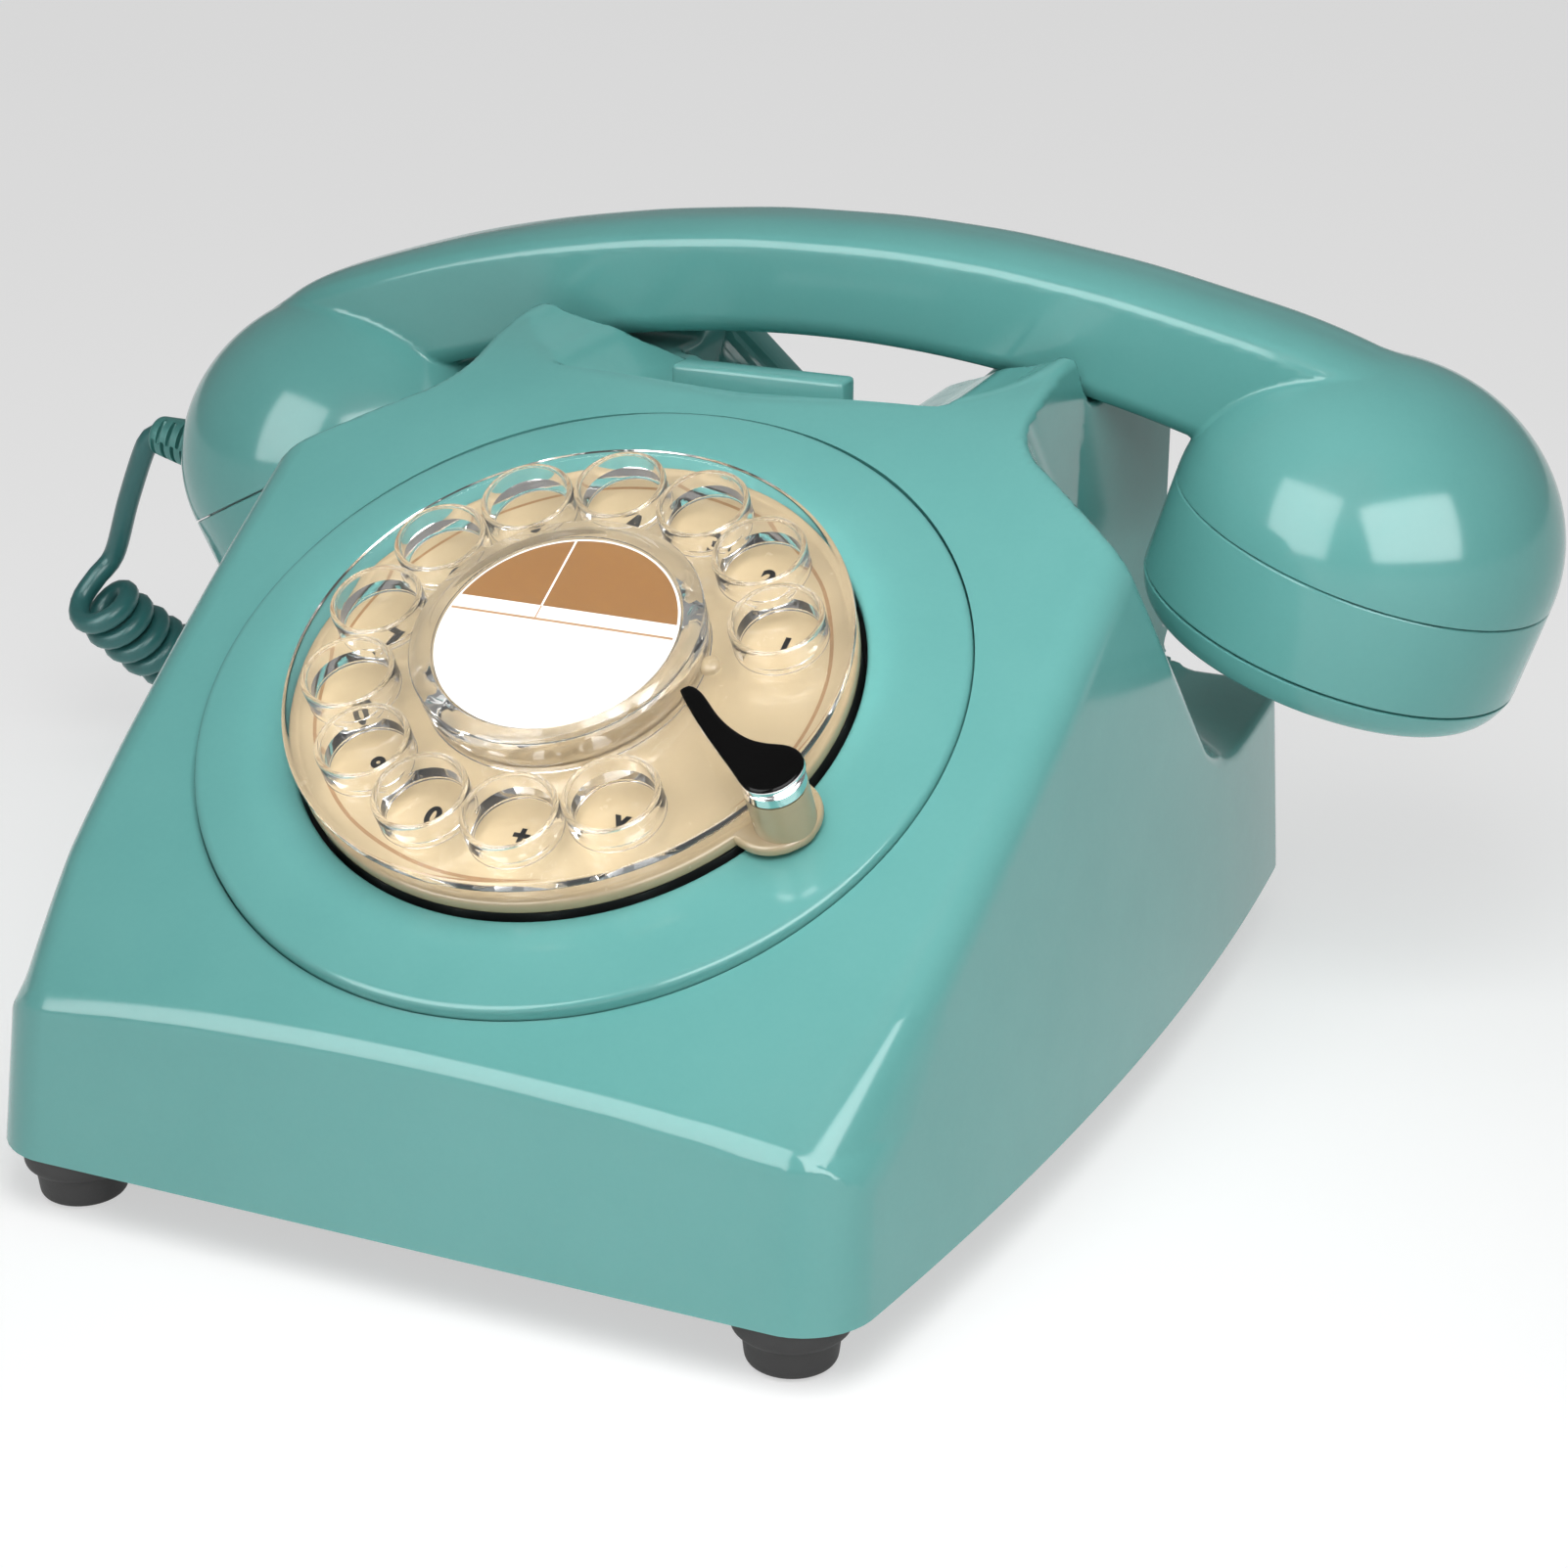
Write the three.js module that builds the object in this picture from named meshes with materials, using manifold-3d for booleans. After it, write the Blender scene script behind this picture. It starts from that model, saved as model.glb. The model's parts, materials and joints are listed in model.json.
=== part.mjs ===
// Rotary desk telephone: moulded wedge case, twelve-hole dial with its
// mechanism, hook switch, bell, and a handset on a curly cord.
// Millimetres, +Z up, the dial faces -Y.
import * as THREE from 'three';
import { mergeVertices } from 'three/addons/utils/BufferGeometryUtils.js';
import Module from 'manifold-3d';

const wasm = await Module();
wasm.setup();

// ---- driving dimensions -------------------------------------------------
const gap = 0.3;              // clearance between neighbouring pieces
const wall = 2.6;             // moulded wall of the case
const depth = 195;            // case, front to back at the bottom
const frontHalf = 69.3;       // half width of the case's bottom front edge
const flare = 0.1786;         // widening of the sides, per mm of depth
const belly = 0.000653;       // rounding of the sides in plan
const draft = 0.066;          // lean of the side walls
const frontLean = 0.16;       // lean of the front wall
const rearLean = 0.04;        // lean of the rear wall
const caseBottom = 9.2;       // underside of the case above the floor
const frontTop = 37.3;        // top of the front wall on the centre line
const crown = 4.1;            // drop of that edge towards the corners
const crownEnd = 62;          // height where the crown has faded out
const slope = THREE.MathUtils.degToRad(30.6);
const rollY = 105;            // where the face starts to level off
const rollRate = 0.00641;
const earTop = 110;           // height of the four cradle ears
const cornerR = 11.5;         // front corners in plan
const edgeR = 6.5;            // edge between face and sides
const rearR = 9;
const noseR = 5;              // rounding between front wall and face

const handsetBack = 31.3;     // handset's centre line, in front of the case's rear
const handsetY = depth - handsetBack;
const cheek = 50;             // half width of the cradle block
const pocketFloor = 95;
const pocketFront = handsetY - 38.7;
const pocketBack = handsetY + 20.3;
const pocketHalf = 19.5;      // half width of the pocket's flat floor
const scoopFloor = 42.6;      // side shelf below the handset's cups
const gripLow = 60;           // carrying recess in the rear
const gripHigh = 86;
const gripHalf = 36;
const gripDeep = 25;

const dialUp = 68.1;          // dial centre, along the face from the nose
const dialTilt = THREE.MathUtils.degToRad(29.6);
const plateauR = 60.8;        // flat disc raised from the face
const plateauRise = 1.2;
const openingR = 45;
const plateR = 44.1;
const plateTop = 2.7;
const plateThick = 2.2;
const wheelR = 44.4;
const wheelLow = 5.4;
const wheelTop = 7.4;
const rimTop = 10.6;          // tops of the finger collars
const holeRing = 33;
const holeCount = 12;
const holeStep = 26.25;       // degrees between finger holes
const firstHole = 17.8;       // degrees, anticlockwise from the right
const holeR = 6.4;
const collarR = 7.4;
const labelR = 19.2;
const labelTop = 13;
const hubR = 22.4;
const shaftR = 3;
const postAt = [42.6, -19.9]; // stop post on the dial plate
const postR = 4.7;
const lobeAt = [40.6, -19];     // rounded lobe of the plate under the post
const lobeR = 7;
const stopLow = 11.4;
const stopThick = 2.2;
const rimDrop = 1;             // how far the stop's band hangs below its blade

const mainTeeth = 36;
const pinionTeeth = 9;
const toothSize = 1.05;       // gear module
const gearTop = -15;
const gearThick = 2;
const pinionAngle = 205;      // place of the governor round the dial

const cupR = 33;              // handset cups
const domeHigh = 29.8;
const bandHigh = 16.5;
const lipHigh = 5.6;
const shell = 2.4;
const earSide = { x: 96.4, z: 81.5, lean: 17, sign: 1 };
const mouthSide = { x: -98.9, z: 74.2, lean: 28, sign: -1 };
const handleHalf = 12.3;      // half depth of the handle at its upper crease

const barHalf = 15.6;         // hook bar
const barThick = 5.6;
const barFront = pocketFront + 5;
const barBack = barFront + barThick;
const barTop = 106.3;
const barStroke = 2.5;
const padTop = 104;           // top of the bar's pad, under the handle

const footR = 8.7;
const footFront = frontHalf - 10.5;
const footRear = frontHalf - 3.3;
const footAt = [[-footFront, 9.6], [footFront, 9.6], [-footRear, depth - 21], [footRear, depth - 21]];
const screwFront = frontHalf - 9.3;
const screwRear = frontHalf - 2.3;
const screwAt = [[-screwFront, 42], [screwFront, 42], [-screwRear, depth - 55], [screwRear, depth - 55]];
const cordR = 2.1;
const glandX = -16;            // where the handset's cord enters the rear
const glandZ = 20;
const cupSides = 20;
const coilR = 7.4;

// ---- helpers --------------------------------------------------------------
const rad = THREE.MathUtils.degToRad;
const mix = (a, b, t) => a + (b - a) * t;
const clamp = (t) => Math.min(1, Math.max(0, t));

function rawBody(points, faces) {
  const g = new THREE.BufferGeometry();
  g.setAttribute('position', new THREE.Float32BufferAttribute(points.flat(), 3));
  g.setIndex(faces.flat());
  return g;
}

function solid(geometry) {
  const bare = geometry.index ? geometry.toNonIndexed() : geometry.clone();
  for (const name of Object.keys(bare.attributes)) {
    if (name !== 'position') bare.deleteAttribute(name);
  }
  const g = mergeVertices(bare, 1e-4);
  const p = g.attributes.position.array;
  const tri = [];
  let volume = 0;
  for (let i = 0; i < g.index.count; i += 3) {
    const [a, b, c] = [g.index.array[i], g.index.array[i + 1], g.index.array[i + 2]];
    if (a === b || b === c || a === c) continue;
    tri.push(a, b, c);
    const [A, B, C] = [a, b, c].map((k) => new THREE.Vector3(p[3 * k], p[3 * k + 1], p[3 * k + 2]));
    volume += A.dot(B.cross(C));
  }
  if (volume < 0) {
    for (let i = 0; i < tri.length; i += 3) [tri[i], tri[i + 1]] = [tri[i + 1], tri[i]];
  }
  return new wasm.Manifold(new wasm.Mesh({
    numProp: 3,
    vertProperties: new Float32Array(p),
    triVerts: new Uint32Array(tri),
  }));
}

function joined(...parts) {
  return parts.flat().reduce((sum, part) => sum.add(part));
}

function cut(body, ...tools) {
  return tools.flat().reduce((left, tool) => left.subtract(tool), body);
}

function geometryOf(body) {
  const mesh = body.getMesh();
  const g = new THREE.BufferGeometry();
  g.setAttribute('position', new THREE.Float32BufferAttribute(mesh.vertProperties, 3));
  g.setIndex(Array.from(mesh.triVerts));
  g.computeVertexNormals();
  return g;
}

function box(x0, x1, y0, y1, z0, z1) {
  const g = new THREE.BoxGeometry(x1 - x0, y1 - y0, z1 - z0);
  g.translate((x0 + x1) / 2, (y0 + y1) / 2, (z0 + z1) / 2);
  return solid(g);
}

function rod(r, z0, z1, x = 0, y = 0, sides = 24, top = r) {
  const g = new THREE.CylinderGeometry(top, r, z1 - z0, sides);
  g.rotateX(Math.PI / 2);
  g.translate(x, y, (z0 + z1) / 2);
  return solid(g);
}

function turned(profile, sides = 48) {
  const g = new THREE.LatheGeometry(profile.map(([r, z]) => new THREE.Vector2(r, z)), sides);
  g.rotateX(Math.PI / 2);
  return solid(g);
}

function ring(outer, inner, z0, z1, sides = 48) {
  return turned([[inner, z0], [outer, z0], [outer, z1], [inner, z1], [inner, z0]], sides);
}

function plate(outline, z0, z1) {
  const shape = new THREE.Shape(outline.map(([x, y]) => new THREE.Vector2(x, y)));
  const g = new THREE.ExtrudeGeometry(shape, { depth: z1 - z0, bevelEnabled: false });
  g.translate(0, 0, z0);
  return solid(g);
}

// A YZ outline drawn out along X, and an XZ outline drawn out along Y.
function alongX(outline, x0, x1) {
  const g = new THREE.ExtrudeGeometry(
    new THREE.Shape(outline.map(([y, z]) => new THREE.Vector2(y, z))),
    { depth: x1 - x0, bevelEnabled: false });
  g.applyMatrix4(new THREE.Matrix4().set(0, 0, 1, x0, 1, 0, 0, 0, 0, 1, 0, 0, 0, 0, 0, 1));
  return solid(g);
}

function alongY(outline, y0, y1) {
  const g = new THREE.ExtrudeGeometry(
    new THREE.Shape(outline.map(([x, z]) => new THREE.Vector2(x, z))),
    { depth: y1 - y0, bevelEnabled: false });
  g.applyMatrix4(new THREE.Matrix4().set(1, 0, 0, 0, 0, 0, 1, y0, 0, 1, 0, 0, 0, 0, 0, 1));
  return solid(g);
}

function sweep(points, r, sides, steps) {
  const path = new THREE.CatmullRomCurve3(points.map((p) => new THREE.Vector3(...p)));
  const shape = new THREE.Shape(ringPoints(r, sides));
  return solid(new THREE.ExtrudeGeometry(shape, { steps, extrudePath: path, bevelEnabled: false }));
}

function ringPoints(r, sides) {
  const list = [];
  for (let i = 0; i < sides; i += 1) {
    const a = (2 * Math.PI * i) / sides;
    list.push(new THREE.Vector2(r * Math.cos(a), r * Math.sin(a)));
  }
  return list;
}

// Closed rings of equal count, stacked into one body with fans at both ends.
function stacked(rings) {
  const n = rings[0].length;
  const points = rings.flat();
  const faces = [];
  for (let k = 0; k + 1 < rings.length; k += 1) {
    for (let i = 0; i < n; i += 1) {
      const j = (i + 1) % n;
      faces.push([k * n + i, k * n + j, (k + 1) * n + j]);
      faces.push([k * n + i, (k + 1) * n + j, (k + 1) * n + i]);
    }
  }
  for (const [at, flip] of [[0, true], [rings.length - 1, false]]) {
    const middle = [0, 1, 2].map((c) => rings[at].reduce((s, p) => s + p[c], 0) / n);
    points.push(middle);
    const m = points.length - 1;
    for (let i = 0; i < n; i += 1) {
      const a = at * n + i;
      const b = at * n + ((i + 1) % n);
      faces.push(flip ? [m, b, a] : [m, a, b]);
    }
  }
  return solid(rawBody(points, faces));
}

function at(degrees, r) {
  return [r * Math.cos(rad(degrees)), r * Math.sin(rad(degrees))];
}

// ---- outer skin of the case -----------------------------------------------
const rise = Math.tan(slope);
const noseY = frontLean * (frontTop - caseBottom);
const rollZ = frontTop + (rollY - noseY) * rise;

function sideX(y, z, inset) {
  return frontHalf + flare * y - belly * y * y - draft * (z - caseBottom) - inset;
}

function faceHeight(y) {
  if (y < rollY) return frontTop + (y - noseY) * rise;
  const d = Math.min(y - rollY, rise / (2 * rollRate));
  return rollZ + rise * d - rollRate * d * d;
}

function faceDepth(height) {
  if (height < rollZ) return noseY + (height - frontTop) / rise;
  const under = Math.max(rise * rise - 4 * rollRate * (height - rollZ), 0);
  return rollY + (rise - Math.sqrt(under)) / (2 * rollRate);
}

function frontDepth(x, z, inset) {
  const fade = clamp((crownEnd - z) / (crownEnd - frontTop + crown));
  const drop = crown * (x / frontHalf) ** 2 * fade * fade;
  const wallY = frontLean * (z - caseBottom) + inset;
  const faceY = faceDepth(z + drop + inset / Math.cos(slope));
  const near = Math.max(noseR - Math.abs(wallY - faceY), 0) / noseR;
  return Math.max(wallY, faceY) + (near * near * noseR) / 4;
}

function bezier(a, da, db, b, t) {
  const s = 1 - t;
  return [0, 1].map((i) => s ** 3 * a[i] + 3 * s * s * t * (a[i] + da[i])
    + 3 * s * t * t * (b[i] - db[i]) + t ** 3 * b[i]);
}

// Outline of the case at one height, as a closed ring of [x, y].
function caseOutline(z, inset, fine) {
  const upper = clamp((z - frontTop + crown) / 14);
  const rx = Math.max(mix(cornerR, edgeR, upper) - inset, 1.5);
  const ry = Math.max(mix(cornerR, edgeR / Math.sin(slope), upper) - inset, 2);
  const back = depth - rearLean * (z - caseBottom) - inset;
  const rr = rearR - inset / 2;
  const guess = frontDepth(frontHalf, z, inset) + ry;
  const turnX = sideX(guess, z, inset) - rx;
  const turnY = frontDepth(turnX, z, inset);
  const half = [];
  for (let i = 0; i < 4 * fine; i += 1) {
    const x = (turnX * i) / (4 * fine);
    half.push([x, frontDepth(x, z, inset)]);
  }
  const m = frontDepth(turnX, z, inset) - frontDepth(turnX - 1, z, inset);
  const sideY = turnY + ry;
  const side = (y) => sideX(y, z, inset);
  const k = 0.5523;
  for (let i = 0; i < 3 * fine; i += 1) {
    const t = i / (3 * fine);
    const lean = side(sideY + 1) - side(sideY);
    half.push(bezier([turnX, turnY], [k * rx, k * rx * m], [k * ry * lean, k * ry],
      [side(sideY), sideY], t));
  }
  const rearY = back - rr;
  for (let i = 0; i < 4 * fine; i += 1) {
    const y = mix(sideY, rearY, i / (4 * fine));
    half.push([side(y), y]);
  }
  for (let i = 0; i < 2 * fine; i += 1) {
    const t = i / (2 * fine);
    half.push(bezier([side(rearY), rearY], [0, k * rr], [-k * rr, 0],
      [side(rearY) - rr, back], t));
  }
  half.push([side(rearY) - rr, back]);
  const other = half.slice(1).reverse().map(([x, y]) => [-x, y]);
  return [...half, ...other];
}

function caseBody(levels, inset, fine) {
  return stacked(levels.map((z) => caseOutline(z, inset, fine).map(([x, y]) => [x, y, z])));
}

const outerLevels = [caseBottom, 29, 32, 34.5, 37, 41, 49, 62, rollZ - 1, 103, 107.4, earTop];
const innerLevels = [caseBottom - 2, 29, 34, 62, rollZ - 6, 102, earTop - wall];

// ---- cuts shared by the skin and the hollow ---------------------------------
// Shelf for one cup: a sloping front, a level floor and a rounded foot.
function scoop(side, grow) {
  const across = new THREE.Vector3(0.778 * side, 0.628, 0);
  const origin = new THREE.Vector3(75 * side, handsetY - 76.7, 104);
  const steep = 1.586;
  const foot = (104 - scoopFloor) / steep;
  const list = [[-40, 104 + 40 * steep]];
  const bend = 9;
  for (let i = 0; i <= 4; i += 1) {
    const t = i / 4;
    const a = [foot - bend * 0.55, scoopFloor + bend * 0.55 * steep];
    const c = [foot + bend, scoopFloor];
    const s = 1 - t;
    list.push([s * s * a[0] + 2 * s * t * foot + t * t * c[0],
      s * s * a[1] + 2 * s * t * scoopFloor + t * t * c[1]]);
  }
  list.push([220, scoopFloor], [220, 104 + 40 * steep]);
  const slant = Math.hypot(1, steep);
  const shape = new THREE.Shape(list.map(([u, v], i) => {
    const onSlope = i === 0 || (i > 0 && i < 3);
    const du = onSlope ? -grow * (steep / slant) : (i === 3 ? -grow * 0.5 : 0);
    const dv = i === 0 || i > list.length - 2 ? 0 : -grow * (onSlope ? 1 / slant : 1);
    return new THREE.Vector2(u + du, v + dv);
  }));
  const g = new THREE.ExtrudeGeometry(shape, { depth: 400, bevelEnabled: false });
  g.translate(0, 0, -200);
  const along = new THREE.Vector3(-across.y, across.x, 0);
  const m = new THREE.Matrix4().makeBasis(across, new THREE.Vector3(0, 0, 1), along);
  m.setPosition(origin.x, origin.y, 0);
  g.applyMatrix4(m);
  const edge = cheek - grow;
  return solid(g).intersect(side > 0 ? box(edge, 140, 40, 260, 20, 170)
    : box(-140, -edge, 40, 260, 20, 170));
}

// Level of the cradle block between the ears, lowest in the middle.
const cradleLine = [[0, 104.4], [12, 104.9], [22, 105.4], [34, 106], [40.5, 107.2],
  [45, 108.6], [47.4, earTop]];

function cradleCut(grow) {
  const right = cradleLine.map(([x, z]) => [x, z - grow]);
  const left = right.slice(1).reverse().map(([x, z]) => [-x, z]);
  const top = earTop + 20;
  const last = cradleLine[cradleLine.length - 1][0];
  return alongY([...left, ...right, [last, top], [-last, top]], pocketFront - 22, depth + 20);
}

function saddleCut(grow) {
  const line = [[handsetY - 15.2, earTop], [handsetY - 8.2, 100.4], [handsetY + 7.8, 100.4],
    [handsetY + 16.7, earTop]];
  const top = earTop + 20;
  const list = [[line[0][0] - grow, top], ...line.map(([y, z], i) => [
    y + (i < 2 ? -grow : grow), z - (i === 1 || i === 2 ? grow : 0)]),
  [line[3][0] + grow, top]];
  return alongX(list, -cheek - 10, cheek + 10);
}

// The pocket's walls slope up to the ears, and its floor carries the hook bar.
function pocketCut(grow) {
  const low = pocketFloor - grow;
  const top = earTop + 20;
  const length = alongX([[pocketFront - grow, top], [pocketFront - grow, 103],
    [pocketFront + 4, low], [pocketBack - 8, low], [pocketBack + grow, 104],
    [pocketBack + grow, top]], -cheek, cheek);
  const right = [[pocketHalf, low], [25, 101.3 - grow], [33.5, 104.6 - grow], [41.5 + grow, earTop],
    [41.5 + grow, top]].map(([x, z]) => [x + grow / 3, z]);
  const left = right.slice().reverse().map(([x, z]) => [-x, z]);
  return length.intersect(alongY([...left, ...right], pocketFront - 20, depth + 20));
}

function gripCut(grow) {
  const w = gripHalf + grow;
  const front = depth - gripDeep - grow;
  return alongX([[front, gripLow + 6 - grow], [front + 8 + grow, gripLow - grow],
    [depth + 10, gripLow - grow], [depth + 10, gripHigh + grow],
    [front + 6 + grow, gripHigh + grow], [front, gripHigh - 4 + grow]], -w, w);
}

// ---- dial frame: origin on the plateau, its Z along the dial's axis ----------
const nose = new THREE.Vector3(0, noseY, frontTop);
const upFace = new THREE.Vector3(0, Math.cos(slope), Math.sin(slope));
const outFace = new THREE.Vector3(0, -Math.sin(dialTilt), Math.cos(dialTilt));
const dialCentre = nose.clone().addScaledVector(upFace, dialUp).addScaledVector(outFace, plateauRise);
const dialMatrix = new THREE.Matrix4().makeRotationX(dialTilt).setPosition(dialCentre);

function onDial(body) {
  const g = geometryOf(body);
  g.applyMatrix4(dialMatrix);
  return solid(g);
}

// Outline of the lobe that carries the finger stop's post.
function lobe() {
  const [px, py] = lobeAt;
  const away = Math.atan2(py, px);
  const root = plateR - 6;
  const spread = Math.asin(lobeR / root);
  const list = [];
  for (let i = 0; i <= 8; i += 1) {
    const a = away - Math.PI / 2 + (Math.PI * i) / 8;
    list.push([px + lobeR * Math.cos(a), py + lobeR * Math.sin(a)]);
  }
  list.push([root * Math.cos(away + spread), root * Math.sin(away + spread)]);
  list.push([root * Math.cos(away - spread), root * Math.sin(away - spread)]);
  return list;
}

// ---- case shell ---------------------------------------------------------------
function makeCase() {
  const skin = caseBody(outerLevels, 0, 1);
  const disc = onDial(rod(plateauR, -9, 0, 0, 0, 44));
  const front = box(-90, 90, -10, rollY + 16, 20, 130);
  let outer = skin.add(disc.intersect(front));
  const cuts = (grow) => [scoop(1, grow), scoop(-1, grow), cradleCut(grow), saddleCut(grow),
    pocketCut(grow), gripCut(grow)];
  outer = cut(outer, cuts(0));
  const hollow = cut(caseBody(innerLevels, wall, 1), cuts(wall));
  const boss = screwAt.map(([x, y]) => rod(4.4, caseBottom + 3.4, 100, x, y, 8).intersect(outer));
  const ribs = [-1, 1].map((s) => box(s * 26 - 0.9, s * 26 + 0.9, pocketFront - 7,
    pocketFront - 0.5, 60, 102).intersect(outer));
  let body = joined(cut(outer, hollow), boss, ribs);
  const bores = screwAt.map(([x, y]) => rod(1.5, caseBottom, caseBottom + 16, x, y, 8));
  const opening = onDial(rod(openingR, -20, 20, 0, 0, 32));
  const slot = box(-barHalf - 0.7, barHalf + 0.7, barFront - 0.7, barBack + 0.7, 80, pocketFloor + 8);
  const socketHole = box(28, 45, depth - 16, depth + 10, 18, 31);
  const cordHole = new THREE.CylinderGeometry(4.4, 4.4, 30, 12).translate(glandX, depth - 4, glandZ);
  body = cut(body, bores, opening, slot, socketHole, solid(cordHole));
  return body;
}

// ---- base ---------------------------------------------------------------------
function makeBase() {
  const low = caseBottom + gap;
  const inset = wall + gap;
  const flat = (z, extra) => caseOutline(caseBottom + 1, inset + extra, 1).map(([x, y]) => [x, y, z]);
  let body = stacked([flat(low, 0), flat(low + 2, 0)]);
  const ribs = [box(11.3 - frontHalf, frontHalf - 11.3, 30, 31.6, low + 1, low + 4),
    box(7.3 - frontHalf, frontHalf - 7.3, 113, 114.6, low + 1, low + 4),
    box(-46, -44.4, 36, 122, low + 1, low + 4), box(44.4, 46, 36, 122, low + 1, low + 4)];
  body = joined(body, ribs);
  const holes = [
    ...screwAt.map(([x, y]) => rod(1.6, 0, 30, x, y, 8)),
    ...footAt.map(([x, y]) => rod(3.3, 0, 30, x, y, 10)),
  ];
  for (let i = 0; i < 3; i += 1) {
    holes.push(box(-9 + i * 8 - 1.2, -9 + i * 8 + 1.2, 66, 84, 0, 30));
  }
  return cut(body, holes);
}

function makeFoot(x, y) {
  const g = geometryOf(turned([[0, 0], [6.2, 0], [7, 5.2], [footR, 5.8], [footR, caseBottom - gap],
    [2.9, caseBottom - gap], [2.9, 12.6], [0, 12.6]], 8));
  g.translate(x, y, 0);
  return solid(g);
}

function makeBaseScrew(x, y) {
  const head = rod(3.2, 7.7, caseBottom, x, y, 10);
  const shank = rod(1.2, caseBottom - 0.5, caseBottom + 14, x, y, 8);
  const driver = box(x - 4, x + 4, y - 0.35, y + 0.35, 7, 8.4);
  return cut(head.add(shank), driver);
}

// ---- dial ------------------------------------------------------------------------
function makeDialPlate() {
  const low = plateTop - plateThick;
  const disc = ring(plateR, shaftR + 0.8, low, plateTop, 32);
  const flange = plate(lobe(), low, plateTop - 0.2);
  const post = rod(postR, low, stopLow - rimDrop - gap, ...postAt, 14)
    .subtract(rod(wheelR + gap * 2, wheelLow - 0.6, stopLow, 0, 0, 36));
  return joined(disc, flange, post);
}

function makeDialCup() {
  const r = openingR - 0.9;
  const body = turned([[7, -12], [r, -12], [r, -7.6], [r + 5, -7.6], [r + 5, -6.9],
    [r, -6.9], [r, 0.2], [r - 1.8, 0.2], [r - 1.8, -10.2], [7, -10.2], [7, -12]], 20);
  const windows = [];
  for (let i = 0; i < 3; i += 1) {
    const [x, y] = at(i * 120 + 60, 26);
    windows.push(rod(6, -14, -9, x, y, 8));
  }
  return cut(body, windows);
}

function makeFingerWheel() {
  const disc = ring(wheelR, hubR - 1, wheelLow, wheelTop, 36);
  const hub = turned([[shaftR + 1.4, wheelLow - 1.6], [9, wheelLow - 1.6], [hubR, wheelLow],
    [hubR, labelTop - 1.3], [labelR + 0.5, labelTop - 1.3], [labelR + 0.5, labelTop - 2.6],
    [hubR - 3, wheelTop], [shaftR + 1.4, wheelTop], [shaftR + 1.4, wheelLow - 1.6]], 20);
  const collars = [];
  const holes = [];
  for (let i = 0; i < holeCount; i += 1) {
    const [x, y] = at(firstHole + i * holeStep, holeRing);
    collars.push(rod(collarR, wheelLow, rimTop, x, y, 10));
    holes.push(rod(holeR, wheelLow - 2, rimTop + 2, x, y, 10));
  }
  return cut(joined(disc, hub, collars), holes);
}

function makeLabelCard() {
  return turned([[0, labelTop - 2.2], [labelR, labelTop - 2.2], [labelR, labelTop - 1.8],
    [0, labelTop - 1.8]], 20);
}

function makeLabelCover() {
  const low = labelTop - 1.8 + gap;
  return turned([[0, low], [labelR - 0.2, low], [labelR - 0.2, labelTop - 1],
    [hubR + 0.4, labelTop - 1], [hubR + 0.4, labelTop - 0.3], [labelR - 1, labelTop + 0.6],
    [0, labelTop + 0.6]], 20);
}

function makeLabelTray() {
  const low = wheelTop + gap;
  return turned([[0, low], [hubR - 4.6, low], [labelR - 0.4, labelTop - 2.5],
    [0, labelTop - 2.5]], 20);
}

// The stop's band goes round the post outside the wheel, below the blade.
function makeFingerStop() {
  const outline = [[24, -8.6], [24.1, -7.6], [25.1, -7], [26.7, -7.6], [28.2, -8.8], [31, -11.4],
    [33.7, -13.3], [37, -14.8], [39.8, -15.2], [43.3, -15], [45.4, -15.7], [46.8, -17.3],
    [47, -19.8], [45.8, -22.4], [44, -23.9], [41.8, -24.4], [39.8, -23.7], [36.6, -20.8],
    [33.1, -17.7], [28.8, -13.7]];
  const blade = plate(outline, stopLow, stopLow + stopThick);
  const band = rod(postR, stopLow - rimDrop, stopLow + 0.5, ...postAt, 14)
    .subtract(rod(wheelR + gap * 2, stopLow - rimDrop - 1, stopLow + 2, 0, 0, 36));
  return blade.add(band);
}

function gearOutline(teeth, module) {
  const list = [];
  const r = (teeth * module) / 2;
  for (let i = 0; i < teeth; i += 1) {
    const w = 360 / teeth;
    const a = i * w;
    list.push(at(a - w * 0.5, r - module * 1.25), at(a - w * 0.1, r + module * 0.75),
      at(a + w * 0.1, r + module * 0.75));
  }
  return list;
}

const mainR = (mainTeeth * toothSize) / 2;
const pinionR = (pinionTeeth * toothSize) / 2;
const pinionAt = at(pinionAngle, mainR + pinionR + 0.4);

function makeDialShaft() {
  return joined(rod(shaftR, -27.5, wheelTop - gap, 0, 0, 16),
    rod(shaftR + 1, gearTop + gap, gearTop + 2.4, 0, 0, 16));
}

function makeMainGear() {
  const body = plate(gearOutline(mainTeeth, toothSize), gearTop - gearThick, gearTop);
  const holes = [rod(shaftR + gap, -30, 0, 0, 0, 12)];
  for (let i = 0; i < 3; i += 1) {
    const [x, y] = at(i * 120, 11);
    holes.push(rod(3.6, -30, 0, x, y, 8));
  }
  return cut(body, holes);
}

function makeRatchet() {
  const list = [];
  for (let i = 0; i < 14; i += 1) {
    list.push(at((i * 360) / 14, 8.2), at(((i + 0.9) * 360) / 14, 6.4));
  }
  const top = gearTop - gearThick - gap;
  return cut(plate(list, top - 1.6, top), rod(shaftR + gap, -30, 0, 0, 0, 12));
}

function makeReturnSpring() {
  const outer = [];
  const inner = [];
  const turns = 2.6;
  for (let i = 0; i <= 28; i += 1) {
    const t = i / 28;
    const r = mix(shaftR + 0.9, 11.6, t);
    outer.push(at(t * turns * 360, r + 0.3));
    inner.push(at(t * turns * 360, r - 0.3));
  }
  return plate([...outer, ...inner.reverse()], -23.4, -19.6);
}

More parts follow.
